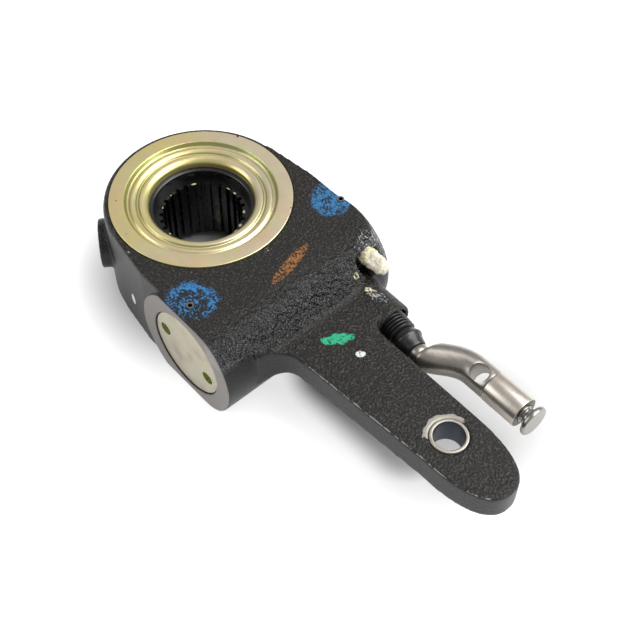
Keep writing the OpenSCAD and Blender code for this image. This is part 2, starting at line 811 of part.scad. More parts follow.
module rack_tooth(x) {
    half = rack_pitch / 4 - rack_tooth_gap / 2;
    low = pinion_pitch_r - rack_tip_z;
    high = rack_root_z - pinion_pitch_r;
    translate([x, pinion_to, 0])
        rotate([90, 0, 0])
            linear_extrude(height = rack_width)
                polygon([[-half + low * tan(flank_angle), rack_tip_z],
                         [half - low * tan(flank_angle), rack_tip_z],
                         [half + high * tan(flank_angle), rack_root_z + eps],
                         [-half - high * tan(flank_angle), rack_root_z + eps]]);
}

// Guide bush of the rack's stem
module rack_bush() {
    color("#8d7a4a")
        difference() {
            along_x(guide_r, guide_from, guide_from + guide_len, rack_y, link_z);
            along_x(stem_r + running_gap, guide_from - 1, guide_from + guide_len + 1, rack_y, link_z);
        }
}

// Pin that joins the link to the rack's fork
module rack_pin() {
    color("#b4b4b0")
        translate([rack_pin_x, rack_y, link_z - stem_r + pin_inset])
            cylinder(r = pin_r, h = 2 * (stem_r - pin_inset));
}

// Centre line of the forged bend: it leaves the rod's end sharply and eases into the straight part
function bend_point(t) =
    [rod_end[0] + t * bend_len, rod_end[1] + sin(90 * t) * (link_y - rod_end[1]), link_z];

// Direction of the bend's rings: square to the rod at first, then square to the centre line
function bend_turn(t) =
    let (slope = atan2(PI / 2 * cos(90 * t) * (link_y - rod_end[1]), bend_len),
         w = min(1, turn_share * t))
    slope * w - rod_lean * (1 - w);

// Rings of the bend
function bend_points(steps, sides) = [
    for (i = [0 : steps], j = [0 : sides - 1])
        let (a = bend_turn(i / steps), b = 360 * j / sides)
        bend_point(i / steps) + forged_r * [-cos(b) * sin(a), cos(b) * cos(a), -sin(b)]
];

// Link: flat eye, leaning rod with its collar, forged bend and drilled straight end
module link() {
    bend_steps = 12;
    bend_sides = 20;
    straight_from = rod_end[0] + bend_len - 0.2;
    color("#a8a49c")
        difference() {
            union() {
                translate([rack_pin_x, rack_y, link_z])
                    rotate([0, 0, -rod_lean]) {
                        translate([0, 0, -eye_t / 2]) cylinder(r = eye_r, h = eye_t);
                        translate([0, -eye_r * 0.7, -eye_t / 2]) cube([stem_r + 3, eye_r * 1.4, eye_t]);
                        along_x(rod_r, stem_r + 1.6, rod_len + 1, 0, 0);
                        along_x(collar_r, rod_len - collar_len, rod_len + 1, 0, 0);
                    }
                polyhedron(points = bend_points(bend_steps, bend_sides),
                           faces = tube_faces(bend_steps + 1, bend_sides));
                along_x(forged_r, straight_from, joint_x, link_y, link_z);
                along_x(link_spigot_r, joint_x - eps, spigot_end, link_y, link_z);
            }
            translate([rack_pin_x, rack_y, link_z - eye_t])
                cylinder(r = pin_r + running_gap, h = 2 * eye_t);
            translate([link_hole_x, link_y, link_z])
                rotate([hole_tilt, 0, 0])
                    cylinder(r = link_hole_r, h = 2 * forged_r + 2, center = true);
            along_x(nose_r + running_gap, link_hole_x, spigot_end + 1, link_y, link_z);
        }
}

// Rubber boot: a cuff in the boss's mouth, folds, and a smooth bulb that grips the rod
module boot() {
    fold_len = (boot_to - bulb_len - boot_from) / boot_folds;
    valley = boot_bore + boot_wall;
    folds = [for (i = [0 : boot_folds - 1], k = [0, 1])
        [k == 0 ? valley : boot_r, boot_from + (i + 0.25 + 0.5 * k) * fold_len]];
    bulb = boot_to - bulb_len;
    color("#161616")
        translate([rack_pin_x, rack_y, link_z])
            rotate([0, 0, -rod_lean])
                rotate([0, 90, 0])
                    rotate_extrude($fn = 32)
                        polygon(concat([[boot_bore, boot_from], [valley, boot_from]], folds,
                                       [[valley + boot_wall, bulb], [boot_r, bulb + 0.3 * bulb_len],
                                        [boot_r, bulb + 0.6 * bulb_len], [collar_r, boot_to],
                                        [boot_bore, boot_to]]));
}

// Turned sleeve on the link's end
module link_sleeve() {
    color("#b3afa7")
        difference() {
            along_x(sleeve_r, joint_x, sleeve_end, link_y, link_z);
            along_x(link_spigot_r, joint_x - 1, sleeve_end - sleeve_lid, link_y, link_z);
            along_x(neck_r + running_gap, joint_x, sleeve_end + 1, link_y, link_z);
        }
}

// Spring plunger with its nose, retaining flange, neck and button head
module plunger() {
    button_from = sleeve_end + button_gap;
    color("#b3afa7")
        union() {
            along_x(nose_r, nose_tip, flange_back, link_y, link_z);
            along_x(link_spigot_r - free_gap, flange_back - flange_t, flange_back, link_y, link_z);
            along_x(neck_r, flange_back - eps, button_from + eps, link_y, link_z);
            along_x(button_r, button_from, button_from + button_t, link_y, link_z);
        }
}

// Small spring between the link's spigot and the plunger's flange
module plunger_spring() {
    color("#6f7173")
        translate([return_from, link_y, link_z])
            rotate([0, 90, 0])
                coil(nose_r + 2 * return_wire, return_wire, return_to - return_from, return_turns, 12, 6);
}

// Grease fitting: threaded shank, hexagon, neck and ball-shaped nipple
module grease_fitting() {
    hex_len = fitting_len * 0.45;
    neck = fitting_af * 0.26;
    ball = fitting_af * 0.37;
    color("#d8d3bd")
        translate([fitting_seat, fitting_y, fitting_z])
            rotate([0, 90, 0]) {
                translate([0, 0, -shank_len]) cylinder(r = shank_r, h = shank_len + eps);
                cylinder(d = fitting_af / cos(30), h = hex_len, $fn = 6);
                translate([0, 0, hex_len - eps]) cylinder(r = neck, h = fitting_len - hex_len - ball);
                translate([0, 0, fitting_len - ball]) sphere(r = ball);
            }
}

// Pressed bush for the clevis pin
module arm_bush() {
    color("#d9d4c4")
        translate([arm_length, 0, arm_top_z - arm_thick + bush_proud])
            difference() {
                cylinder(r = bush_bore_r + bush_wall, h = arm_thick);
                translate([0, 0, -1]) cylinder(r = bush_bore_r, h = arm_thick + 2);
            }
}

housing();
cover_plate();
cover_seal();
bottom_seal();
bearing_ring();
worm_gear();
worm_shaft();
worm_bearing();
thrust_washer();
thrust_spring();
end_cap();
cap_oring();
hex_bush();
shaft_oring();
lock_pins();
clutch_pinion();
clutch_spring();
rack();
rack_bush();
rack_pin();
link();
boot();
link_sleeve();
plunger();
plunger_spring();
grease_fitting();
arm_bush();
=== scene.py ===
import math

import bmesh
import bpy
import numpy as np
from mathutils import Matrix, Vector
from mathutils import noise as wave


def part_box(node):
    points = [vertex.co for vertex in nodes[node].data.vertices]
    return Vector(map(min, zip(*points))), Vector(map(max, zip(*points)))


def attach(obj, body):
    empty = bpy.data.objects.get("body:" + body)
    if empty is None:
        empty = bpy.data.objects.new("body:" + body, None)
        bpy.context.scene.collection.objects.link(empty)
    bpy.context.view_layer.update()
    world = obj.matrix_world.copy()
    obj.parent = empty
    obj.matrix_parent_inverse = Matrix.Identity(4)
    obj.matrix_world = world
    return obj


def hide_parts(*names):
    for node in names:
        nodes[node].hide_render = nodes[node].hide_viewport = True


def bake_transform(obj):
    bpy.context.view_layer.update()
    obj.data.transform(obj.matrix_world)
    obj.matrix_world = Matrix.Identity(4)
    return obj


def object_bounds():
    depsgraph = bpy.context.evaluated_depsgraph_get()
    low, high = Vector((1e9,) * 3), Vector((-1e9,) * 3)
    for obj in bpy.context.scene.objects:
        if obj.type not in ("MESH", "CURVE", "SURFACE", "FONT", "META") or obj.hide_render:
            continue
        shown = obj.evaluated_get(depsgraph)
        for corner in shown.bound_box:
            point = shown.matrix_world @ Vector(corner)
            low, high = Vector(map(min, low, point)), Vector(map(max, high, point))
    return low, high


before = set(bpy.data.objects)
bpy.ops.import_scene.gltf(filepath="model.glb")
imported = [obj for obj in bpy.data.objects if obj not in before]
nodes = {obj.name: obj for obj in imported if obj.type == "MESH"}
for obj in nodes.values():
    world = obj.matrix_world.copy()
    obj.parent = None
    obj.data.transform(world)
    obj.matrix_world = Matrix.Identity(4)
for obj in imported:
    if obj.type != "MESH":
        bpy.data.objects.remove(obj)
cad_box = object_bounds()


# Cast housing with its arm: ductile iron from a sand mould, shot blasted and painted satin black,
# with bare machined faces at the cap and the clevis eye and paint dabs from the assembly line.
# The solid's sharp edges are worn round here, as sand, shot and paint leave them.
MM = 0.001
ARM = 152.4
SAND, WRINKLE, SMEAR, CHIP = 1.0, 2.1, 3.2, 3.0
CREST_FROM, CREST_FULL, CREST_TO = 60, 67, 88
PAINT_COVER = 0.93


def linear(hex_colour):
    """Linear RGBA of an sRGB hex colour."""
    parts = [int(hex_colour[i:i + 2], 16) / 255 for i in (1, 3, 5)]
    return tuple(c / 12.92 if c <= 0.04045 else ((c + 0.055) / 1.055) ** 2.4 for c in parts) + (1.0,)


def add(tree, kind, inputs=None, out=0, **settings):
    """Adds a node with its settings and gives one of its outputs.

    inputs maps a socket to a value, or to the socket that feeds it.
    """
    made = tree.nodes.new(kind if "Node" in kind else "ShaderNode" + kind)
    for key, value in settings.items():
        setattr(made, key, value)
    for key, value in (inputs or {}).items():
        if isinstance(value, bpy.types.NodeSocket):
            tree.links.new(value, made.inputs[key])
        else:
            made.inputs[key].default_value = value
    return made.outputs[out] if made.outputs else None


def begin(name):
    """A new empty material, its node tree and the place of a point on the piece, in mm.

    A pattern on that place has a scale of one over its size in mm.
    """
    material = bpy.data.materials.new(name)
    material.use_nodes = True
    tree = material.node_tree
    tree.nodes.clear()
    place = add(tree, "TexCoord", out="Object")
    return material, tree, add(tree, "VectorMath", {0: place, "Scale": 1 / MM}, operation="SCALE")


def region(tree, *bands):
    """Share of 1 where each band's value has gone from its first number to its second."""
    share = 1.0
    for value, outside, inside in bands:
        band = add(tree, "MapRange", {0: value, 1: outside, 2: inside}, interpolation_type="SMOOTHSTEP")
        share = add(tree, "Math", {0: share, 1: band}, operation="MULTIPLY")
    return share


def coat(tree, under, paint, *shares):
    """A paint or stain laid over the colour under it, as far as all the shares let it."""
    cover = 1.0
    for share in shares:
        cover = add(tree, "Math", {0: cover, 1: share}, operation="MULTIPLY")
    return add(tree, "Mix", {0: cover, 6: under, 7: linear(paint)}, out=2, data_type="RGBA")


# Satin paint on a sand-cast skin looks near black. Painted highlights lift the high grains to brown specks
# on the faces that look up, a painted cool sheen tints the plainer flanks grey, and the crest is wet and
# wrinkled. The grain is drawn coarser than sand is, so that it shows.
casting, tree, spot = begin("satin_black_paint_on_cast_iron")
axes = add(tree, "SeparateXYZ", {0: spot}).node.outputs
facing = add(tree, "SeparateXYZ", {0: add(tree, "TexCoord", out="Normal")}).node.outputs
sand = add(tree, "TexNoise", {"Vector": spot, "Scale": 1 / SAND, "Detail": 3.0, "Roughness": 0.6})
wrinkle = add(tree, "TexNoise", {"Vector": spot, "Scale": 1 / WRINKLE, "Detail": 2.0, "Roughness": 0.5})
smear = add(tree, "TexNoise", {"Vector": spot, "Scale": 1 / SMEAR, "Detail": 4.0, "Roughness": 0.6})
looks_up = (facing["Z"], 0.3, 0.85)
upward = region(tree, looks_up)
sideways = add(tree, "Math", {0: 1.0, 1: upward}, operation="SUBTRACT")
speck = region(tree, (sand, 0.5, 0.72))
crest = region(tree, (axes["X"], CREST_FROM, CREST_FULL), (axes["X"], CREST_TO, CREST_TO - 10),
               (axes["Z"], 11.9, 13.5))
# Painted highlight: the high grains on faces that look up turn brown-grey, as if lit from above
colour = coat(tree, linear("#0f0e0d"), "#453e34", speck, upward)
# Painted sheen: the side faces take a cool grey in place of the studio they would reflect
colour = coat(tree, colour, "#17181a", sideways, 0.9)
colour = coat(tree, colour, "#131518", crest, 0.6)


def dab(centre, radii, turn_deg, ragged):
    """A painted spot: 1 inside an ellipsoid, given in mm, with a ragged edge."""
    local = add(tree, "Mapping", {"Vector": spot, "Location": centre, "Scale": radii,
                                  "Rotation": (0, 0, math.radians(turn_deg))}, vector_type="TEXTURE")
    reach = add(tree, "VectorMath", {0: local}, out="Value", operation="LENGTH")
    edge = add(tree, "Math", {0: smear, 1: ragged, 2: reach}, operation="MULTIPLY_ADD")
    return region(tree, (edge, 1.05 + ragged / 2, 0.85 + ragged / 2))


# Assembly marks cling to the high grains: a dry brush to few of them, a full one to nearly all.
# Blue lies round the two lock pins, orange by the plate, green and white on the arm, white on the
# flank, and cream and grey splashes lie by the boot's boss and the grease fitting.
grains = add(tree, "Mix", {0: 0.4, 2: sand, 3: smear})
dry = region(tree, (grains, 0.43, 0.6))
firm = region(tree, (grains, 0.41, 0.56))
full = region(tree, (grains, 0.37, 0.5))
rubbed = add(tree, "Math", {0: dab((44.0, -39.5, 24), (8.5, 7.5, 6), 20, 0.9), 1: -0.06, 2: grains},
             operation="MULTIPLY_ADD")
horseshoe = region(tree, (rubbed, 0.43, 0.54))
marks = (
    ("#2a70a6", dab((42.5, -38.0, 24), (11.0, 9.5, 6), 20, 1.1), horseshoe, upward),
    ("#286c9c", dab((38.5, 41.5, 24), (9.5, 10.5, 6), 30, 0.7), firm, upward),
    ("#8f5c2c", dab((54.3, 4.0, 24), (13.0, 2.7, 5), 105, 1.0), firm, upward),
    ("#22a075", dab((89.3, -1.2, 11.8), (7.6, 2.6, 4), 62, 1.5), full, upward),
    ("#d0d4d2", dab((101.3, 1.1, 11.8), (2.2, 1.7, 3), 30, 1.3), full),
    ("#e6e8e8", dab((4.3, -43.7, -7.0), (1.6, 3.0, 3.2), 0, 0.3)),
    ("#ded6b4", dab((80.6, 25.9, 12.5), (3.2, 2.0, 3), 10, 1.0), dry),
    ("#aeb2b6", dab((84.6, 26.4, 12.5), (4.5, 2.6, 3), 10, 1.5), speck),
    ("#d6d09c", dab((71.7, 25.6, 14.7), (1.6, 1.7, 1.8), 40, 0.9), dry),
    ("#b9bdc0", dab((66.0, 38.5, 21.5), (7.5, 6.5, 4), 0, 1.6), speck),
)
for paint, *shares in marks:
    colour = coat(tree, colour, paint, PAINT_COVER, *shares)

# A pale grey painted highlight runs along the arm's top edge on its -Y side, the head's rim is nicked, and
# the faces cut after painting are bare
painted_edge_highlight = region(tree, (facing["Z"], 0.45, 0.6), (facing["Z"], 0.9, 0.78), (facing["Y"], -0.3, -0.5),
              (axes["X"], 88, 94), (axes["Y"], 1, -1), (smear, 0.44, 0.58))
level = add(tree, "VectorMath", {0: spot, 1: (1, 1, 0)}, operation="MULTIPLY")
from_bore = add(tree, "VectorMath", {0: level}, out="Value", operation="LENGTH")
nicks = region(tree, (from_bore, 41.0, 41.6), (from_bore, 43.2, 42.9), (axes["Z"], 20, 22),
               (smear, 0.66, 0.7))
# The painted edge highlight and the real nicks on the rim take one pale grey
nicks_and_edge_highlight = add(tree, "Math", {0: painted_edge_highlight, 1: nicks}, operation="MAXIMUM")
colour = coat(tree, colour, "#a9a8a5", nicks_and_edge_highlight, 0.75)
cap_face = region(tree, (axes["Y"], -47.2, -47.5), (facing["Y"], -0.7, -0.9))
colour = coat(tree, colour, "#787470", cap_face)
from_pin = add(tree, "VectorMath", {0: level, 1: (ARM, 0, 0)}, operation="SUBTRACT")
pin_reach = add(tree, "VectorMath", {0: from_pin}, out="Value", operation="LENGTH")
bore_side = add(tree, "VectorMath", {0: from_pin, 1: (-0.97, 0.25, 0)}, out="Value",
                operation="DOT_PRODUCT")
round_pin = add(tree, "Math", {0: bore_side, 1: pin_reach}, operation="DIVIDE")
flakes = add(tree, "TexVoronoi", {"Vector": spot, "Scale": 1 / CHIP}, out="Distance")
chipped = add(tree, "Math", {0: flakes, 1: 1.2, 2: pin_reach}, operation="MULTIPLY_ADD")
patchy = add(tree, "Math", {0: smear, 1: 0.7, 2: round_pin}, operation="MULTIPLY_ADD")
spot_face = region(tree, (chipped, 11.0, 10.8), (patchy, 0.7, 0.78), looks_up)
colour = coat(tree, colour, "#8c8880", spot_face)

# The crest is glossier and more deeply wrinkled than the rest, and bare iron is smooth and metallic
bare = add(tree, "Math", {0: cap_face, 1: spot_face}, operation="MAXIMUM")
painted = add(tree, "Math", {0: 1.0, 1: bare}, operation="SUBTRACT")
matte = add(tree, "Math", {0: sand, 1: 0.2, 2: 0.3}, operation="MULTIPLY_ADD")
swell = add(tree, "Math", {0: crest, 1: 4.5, 2: 0.35}, operation="MULTIPLY_ADD")
relief = add(tree, "Math", {0: wrinkle, 1: swell, 2: sand}, operation="MULTIPLY_ADD")
open_faces = add(tree, "Math", {0: upward, 1: crest}, operation="MAXIMUM")
rough_cast = add(tree, "Math", {0: open_faces, 1: 0.5, 2: 0.25}, operation="MULTIPLY_ADD")
skin = add(tree, "Bump", {
    "Height": relief, "Distance": 1.0 * MM,
    "Strength": add(tree, "Math", {0: painted, 1: rough_cast}, operation="MULTIPLY")})
add(tree, "OutputMaterial", {"Surface": add(tree, "BsdfPrincipled", {
    "Base Color": colour, "Normal": skin,
    "Roughness": add(tree, "Math", {0: crest, 1: -0.24, 2: matte}, operation="MULTIPLY_ADD"),
    "Metallic": add(tree, "Math", {0: bare, 1: 0.6}, operation="MULTIPLY"),
    "Specular IOR Level": add(tree, "Math", {0: crest, 1: 0.25, 2: 0.32}, operation="MULTIPLY_ADD")})})

# The skin: small even faces over the solid, worn round except where a tool cut it
VOXEL = 0.6
MOST_TRIANGLES = 185000
PLATE_SEAT_R, PLATE_SEAT_Z = 41.4, 18
EYE_R = 9.5
CAP_SIDE_Y = -46.6


def new_piece(name, mesh, material):
    """An object at the origin for a mesh whose place is in its points."""
    piece = bpy.data.objects.new(name, mesh)
    bpy.context.scene.collection.objects.link(piece)
    mesh.materials.clear()
    mesh.materials.append(material)
    return piece


def settled(piece):
    """Turns the piece with its modifiers into a plain mesh and drops the modifiers."""
    evaluated = piece.evaluated_get(bpy.context.evaluated_depsgraph_get())
    mesh = bpy.data.meshes.new_from_object(evaluated)
    piece.modifiers.clear()
    piece.data = mesh
    return piece


def read_points(mesh, what):
    """The places ("co") or directions ("normal") of a mesh's points, one row to a point."""
    rows = np.empty((len(mesh.vertices), 3))
    mesh.vertices.foreach_get(what, rows.ravel())
    return rows


mesh = nodes["housing"].data.copy()
work = bmesh.new()
work.from_mesh(mesh)
bmesh.ops.remove_doubles(work, verts=work.verts, dist=1e-6)
work.to_mesh(mesh)
work.free()
housing = new_piece("cast_housing", mesh, casting)
remesh = housing.modifiers.new("even skin", "REMESH")
remesh.mode = "VOXEL"
remesh.voxel_size = VOXEL * MM
settled(housing)
x, y, z = (read_points(housing.data, "co") / MM).T
machined = (np.hypot(x, y) < PLATE_SEAT_R) & (z > PLATE_SEAT_Z)
machined |= np.hypot(x - ARM, y) < EYE_R
machined |= y < CAP_SIDE_Y
cast = housing.vertex_groups.new(name="cast")
cast.add(np.flatnonzero(~machined).tolist(), 1.0, "REPLACE")
fair = housing.modifiers.new("fair", "SMOOTH")
fair.iterations = 3
blunt = housing.modifiers.new("blunt", "SMOOTH")
blunt.iterations = 9
blunt.vertex_group = "cast"
settled(housing)

# Relief on the cast skin: sand grain, the wrinkled crest and a low mound of paint by the grease fitting
GRAIN_SIZE, GRAIN_HIGH = 1.3, 0.03
CREASE_SIZE, CREASE_HIGH, CREASE_FLOOR, CREASE_FADE = 2.4, 0.22, 12.2, 8
MOUND, MOUND_R = (62.0, 35.5, 22.5), 9
LUMP_SIZE, LUMP_LEVEL, LUMP_HIGH = 3.5, 0.5, 0.7
points = read_points(housing.data, "co") / MM
outward = read_points(housing.data, "normal")
x, y, z = points.T
on_crest = np.clip((x - CREST_FROM) / (CREST_FULL - CREST_FROM), 0, 1) * (z > CREASE_FLOOR)
on_crest *= np.clip((CREST_TO - x) / CREASE_FADE, 0, 1)
on_mound = np.clip(1 - (np.linalg.norm(points - MOUND, axis=1) / MOUND_R) ** 2, 0, 1)
grainy, creased, lumpy = (np.array([wave.noise(Vector(point / size)) for point in points])
                          for size in (GRAIN_SIZE, CREASE_SIZE, LUMP_SIZE))
height = GRAIN_HIGH * grainy + CREASE_HIGH * on_crest * creased
height += on_mound * (LUMP_LEVEL + LUMP_HIGH * lumpy)
points += outward * (height * ~machined)[:, None]
housing.data.vertices.foreach_set("co", (points * MM).ravel())
housing.data.update()
thin = housing.modifiers.new("thin", "DECIMATE")
thin.ratio = min(1.0, MOST_TRIANGLES / (2 * len(points)))
settled(housing)
housing.vertex_groups.clear()
housing.data.materials.clear()
housing.data.materials.append(casting)
housing.data.shade_smooth()
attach(housing, "housing")
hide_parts("housing")


# Worm gear with its splined hub: carburised steel, hobbed and broached, then blacked and oiled.
# It turns in the head, and only the top of its hub and the splines show through the plate.
DRIP_AT = (-9.92, 15.04, -3.6)
DRIP_STRETCH = (3.2, 3.2, 9.0)


def dress(material, *names):
    """Gives CAD nodes their finish."""
    for name in names:
        nodes[name].data.materials.clear()
        nodes[name].data.materials.append(material)


def surface(tree, colour, drift, rough, metallic=0.0, more=None):
    """Ends a material: its colour, and a roughness that goes with drift from smooth to dull."""
    smooth, dull = rough
    roughness = add(tree, "Math", {0: drift, 1: dull - smooth, 2: smooth}, operation="MULTIPLY_ADD")
    given = {"Base Color": colour, "Roughness": roughness, "Metallic": metallic, **(more or {})}
    add(tree, "OutputMaterial", {"Surface": add(tree, "BsdfPrincipled", given)})


# Black oxide under oil is deep black with sharp, uneven highlights, and a drip of oil dried tan
black_oxide, tree, spot = begin("black_oxide_steel")
film = add(tree, "TexNoise", {"Vector": spot, "Scale": 1 / 3.0, "Detail": 3.0})
dried = add(tree, "TexNoise", {"Vector": spot, "Scale": 1 / 7.0, "Detail": 5.0, "Roughness": 0.7})
drip = add(tree, "Mapping", {"Vector": spot, "Location": DRIP_AT, "Scale": DRIP_STRETCH},
           vector_type="TEXTURE")
from_drip = add(tree, "VectorMath", {0: drip}, out="Value", operation="LENGTH")
colour = add(tree, "Mix", {0: film, 6: linear("#070708"), 7: linear("#151415")}, out=2, data_type="RGBA")
colour = coat(tree, colour, "#6d6650", region(tree, (dried, 0.48, 0.62), (from_drip, 1.4, 0.6)))
surface(tree, colour, film, (0.12, 0.37), 0.35, {"Specular IOR Level": 0.8})
dress(black_oxide, "worm_gear")


# Crumbs of dried preservative, a wax, that stayed on the spline's tooth ends when the bore was wiped.
# They sit in a ring, at most one to a tooth, and differ in size.
CRUMBS = 28
CRUMB_RING = 18.2
CRUMB_GRAIN = 0.75
GEAR_LAND = 13.3


def mottled(name, patch_mm, dark, light, rough, metallic=0.0, detail=2.0):
    """A material whose colour and roughness drift together from patch to patch."""
    material, tree, spot = begin(name)
    patch = add(tree, "TexNoise", {"Vector": spot, "Scale": 1 / patch_mm, "Detail": detail})
    shade = add(tree, "Mix", {0: patch, 6: linear(dark), 7: linear(light)}, out=2, data_type="RGBA")
    surface(tree, shade, patch, rough, metallic)
    return material


def geometry_group(name, sizes):
    """A new Geometry Nodes tree with named number inputs and one mesh output."""
    group = bpy.data.node_groups.new(name, "GeometryNodeTree")
    for label, kind in sizes:
        group.interface.new_socket(label, in_out="INPUT", socket_type=kind)
    group.interface.new_socket("Mesh", in_out="OUTPUT", socket_type="NodeSocketGeometry")
    return group, add(group, "NodeGroupInput").node.outputs


def grown(name, group, values, material):
    """A piece made by a Geometry Nodes tree, with the tree's named inputs set, as a plain mesh."""
    piece = new_piece(name, bpy.data.meshes.new(name), material)
    grow = piece.modifiers.new(name, "NODES")
    grow.node_group = group
    for item in group.interface.items_tree:
        if item.in_out == "INPUT" and item.name in values:
            grow[item.identifier] = values[item.name]
    return settled(piece)


# Dried wax is a dull tan that pales where it is thin
tan_wax = mottled("dried_preservative", 1.2, "#7d775e", "#c4bea3", (0.55, 0.55))
group, given = geometry_group("crumb_ring", [("Count", "NodeSocketInt"), ("Ring radius", "NodeSocketFloat"),
                                             ("Height", "NodeSocketFloat"), ("Grain", "NodeSocketFloat")])
ring = add(group, "GeometryNodeMeshCircle", {"Vertices": given["Count"], "Radius": given["Ring radius"]})
lift = add(group, "CombineXYZ", {"Z": given["Height"]})
raised = add(group, "GeometryNodeTransform", {"Geometry": ring, "Translation": lift})
grain = add(group, "GeometryNodeMeshIcoSphere", {"Radius": given["Grain"], "Subdivisions": 2})
spread = add(group, "FunctionNodeRandomValue", {"Min": (0.2, 0.4, 0.05), "Max": (0.9, 1.6, 0.2), "Seed": 7},
             data_type="FLOAT_VECTOR")
point_at = add(group, "GeometryNodeInputPosition")
facing_out = add(group, "FunctionNodeAlignRotationToVector", {"Vector": point_at}, axis="X", pivot_axis="Z")
kept = add(group, "FunctionNodeRandomValue", {"Probability": 0.6, "Seed": 3}, out=3, data_type="BOOLEAN")
crumbs = add(group, "GeometryNodeInstanceOnPoints", {
    "Points": raised, "Instance": grain, "Rotation": facing_out, "Scale": spread, "Selection": kept})
real = add(group, "GeometryNodeRealizeInstances", {"Geometry": crumbs})
waxed = add(group, "GeometryNodeSetMaterial", {"Geometry": real, "Material": tan_wax})
add(group, "NodeGroupOutput", {"Mesh": waxed})
ring_sizes = {"Count": CRUMBS, "Ring radius": CRUMB_RING * MM, "Height": GEAR_LAND * MM,
              "Grain": CRUMB_GRAIN * MM}
residue = grown("tooth_end_crumbs", group, ring_sizes, tan_wax)
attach(residue, "worm_gear")


# Seals: moulded black nitrile rings under the plate, below the hub, behind the cap and on the shaft.
# The upper one is a lip seal, pressed in under the plate, whose shiny lip rests just above the hub.
SEAL_R = 24.6
SEAL_FOOT, SEAL_TOP = 17.35, 18.35


def turned(profile, centre, axis="Z", steps=128):
    """Mesh of a closed (radius, height) outline in mm turned about an axis through centre."""
    lathe = bmesh.new()
    rings = []
    for i in range(steps):
        a = 2 * math.pi * i / steps
        rings.append([lathe.verts.new((r * math.cos(a), r * math.sin(a), h)) for r, h in profile])
    count = len(profile)
    for i in range(steps):
        here, there = rings[i], rings[(i + 1) % steps]
        for k in range(count):
            n = (k + 1) % count
            lathe.faces.new((here[k], there[k], there[n], here[n]))
    bmesh.ops.remove_doubles(lathe, verts=lathe.verts, dist=1e-5)
    bmesh.ops.dissolve_degenerate(lathe, edges=lathe.edges, dist=1e-6)
    bmesh.ops.recalc_face_normals(lathe, faces=lathe.faces)
    quarter = math.pi / 2
    turn = {"Z": Matrix(), "Y": Matrix.Rotation(-quarter, 4, "X"), "X": Matrix.Rotation(quarter, 4, "Y")}
    lathe.transform(Matrix.Scale(MM, 4) @ Matrix.Translation(centre) @ turn[axis])
    mesh = bpy.data.meshes.new("turned")
    lathe.to_mesh(mesh)
    lathe.free()
    mesh.shade_smooth()
    mesh.set_sharp_from_angle(angle=math.radians(50))
    return mesh


def eased(outline, ease, steps=4):
    """Rounds each corner of a closed outline by the length ease, or by the third value of a point."""
    result = []
    count = len(outline)
    for i, corner in enumerate(outline):
        p = Vector(corner[:2])
        cut = corner[2] if len(corner) > 2 else ease
        before = Vector(outline[i - 1][:2]) - p
        after = Vector(outline[(i + 1) % count][:2]) - p
        if cut <= 0 or p.x < 1e-6:
            result.append(tuple(p))
            continue
        a = p + before.normalized() * min(cut, before.length * 0.45)
        b = p + after.normalized() * min(cut, after.length * 0.45)
        for k in range(steps + 1):
            t = k / steps
            result.append(tuple(a * (1 - t) ** 2 + p * (2 * t * (1 - t)) + b * t ** 2))
    return result


# Moulded nitrile is black with a soft sheen, duller where a bloom has come out of it
rubber = mottled("moulded_black_rubber", 2.0, "#0e0e0f", "#1e1e1f", (0.2, 0.45), detail=3.0)
dress(rubber, "bottom_seal", "cap_oring", "shaft_oring")
seal_line = [(SEAL_R, SEAL_TOP), (23.3, 18.4), (22.0, 18.1), (21.4, 17.6), (21.8, SEAL_FOOT),
             (SEAL_R, SEAL_FOOT)]
lip_seal = new_piece("lip_seal", turned(eased(seal_line, 0.5), (0, 0, 0), steps=160), rubber)
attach(lip_seal, "housing")
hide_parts("cover_seal")


# Bearings and bushes: bronze rings, sintered from powder and soaked in oil.
# They are pressed into the casting and carry the hub, the worm and the rack.
# Sintered bronze is a brownish gold, speckled by its pores and never bright
bronze = mottled("sintered_bronze", 0.6, "#7d6436", "#b08d52", (0.3, 0.6), metallic=1.0, detail=3.0)
dress(bronze, "bearing_ring", "worm_bearing", "hex_bush", "rack_bush")


# Worm shaft, thrust washer, clutch pinion, rack and pins: alloy steel, hobbed and ground to size.
# The lock pins are rolled from strip and driven into the boss from above, so their ends show as rings.
# Ground steel is a clean warm grey with faint streaks where the wheel ran
ground = mottled("ground_steel", 1.5, "#827f7b", "#aca8a2", (0.22, 0.42), metallic=1.0, detail=4.0)
dress(ground, "worm_shaft", "thrust_washer", "clutch_pinion", "rack", "rack_pin", "lock_pins")


# Springs: drawn wire, oil tempered and coiled cold.
# One presses on the worm from behind the cap, and one grips the shaft in the one-way clutch.
# Tempered wire is dark grey, with a dull gleam along the coils
wire = mottled("oil_tempered_spring_wire", 0.8, "#4a4b4d", "#7c7d7f", (0.3, 0.5), metallic=1.0)
dress(wire, "thrust_spring", "clutch_spring")


# Cover plate: steel sheet pressed into a rim, a step, a bead and a rolled lip, plated with zinc
# and dipped in yellow chromate. It is seated in a recess of the head and stands a little proud.
SHEET = 1.6


def corners(node):
    """Lowest and highest corner of a CAD node, in mm."""
    return [Vector(corner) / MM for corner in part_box(node)]


plate_high = corners("cover_plate")[1]
PLATE_R, PLATE_TOP = plate_high.x, plate_high.z
plate_line = [(PLATE_R, 0, 0.5), (33.5, 0, 0.4), (32.5, -1.7, 0.5), (31.7, -2.1, 0.5),
              (30.2, -0.95, 0.9), (28.5, -1.9, 0.5), (28.0, -2.6, 0.3), (27.4, -2.5, 0.3),
              (26.7, -1.6, 0.5), (25.0, -1.75, 0.9), (23.4, -3.0, 0.6), (23.1, -4.2, 0.3)]
plate_outline = [(r, PLATE_TOP + z, ease) for r, z, ease in plate_line]
plate_outline += [(r, PLATE_TOP + z - SHEET, ease) for r, z, ease in reversed(plate_line)]
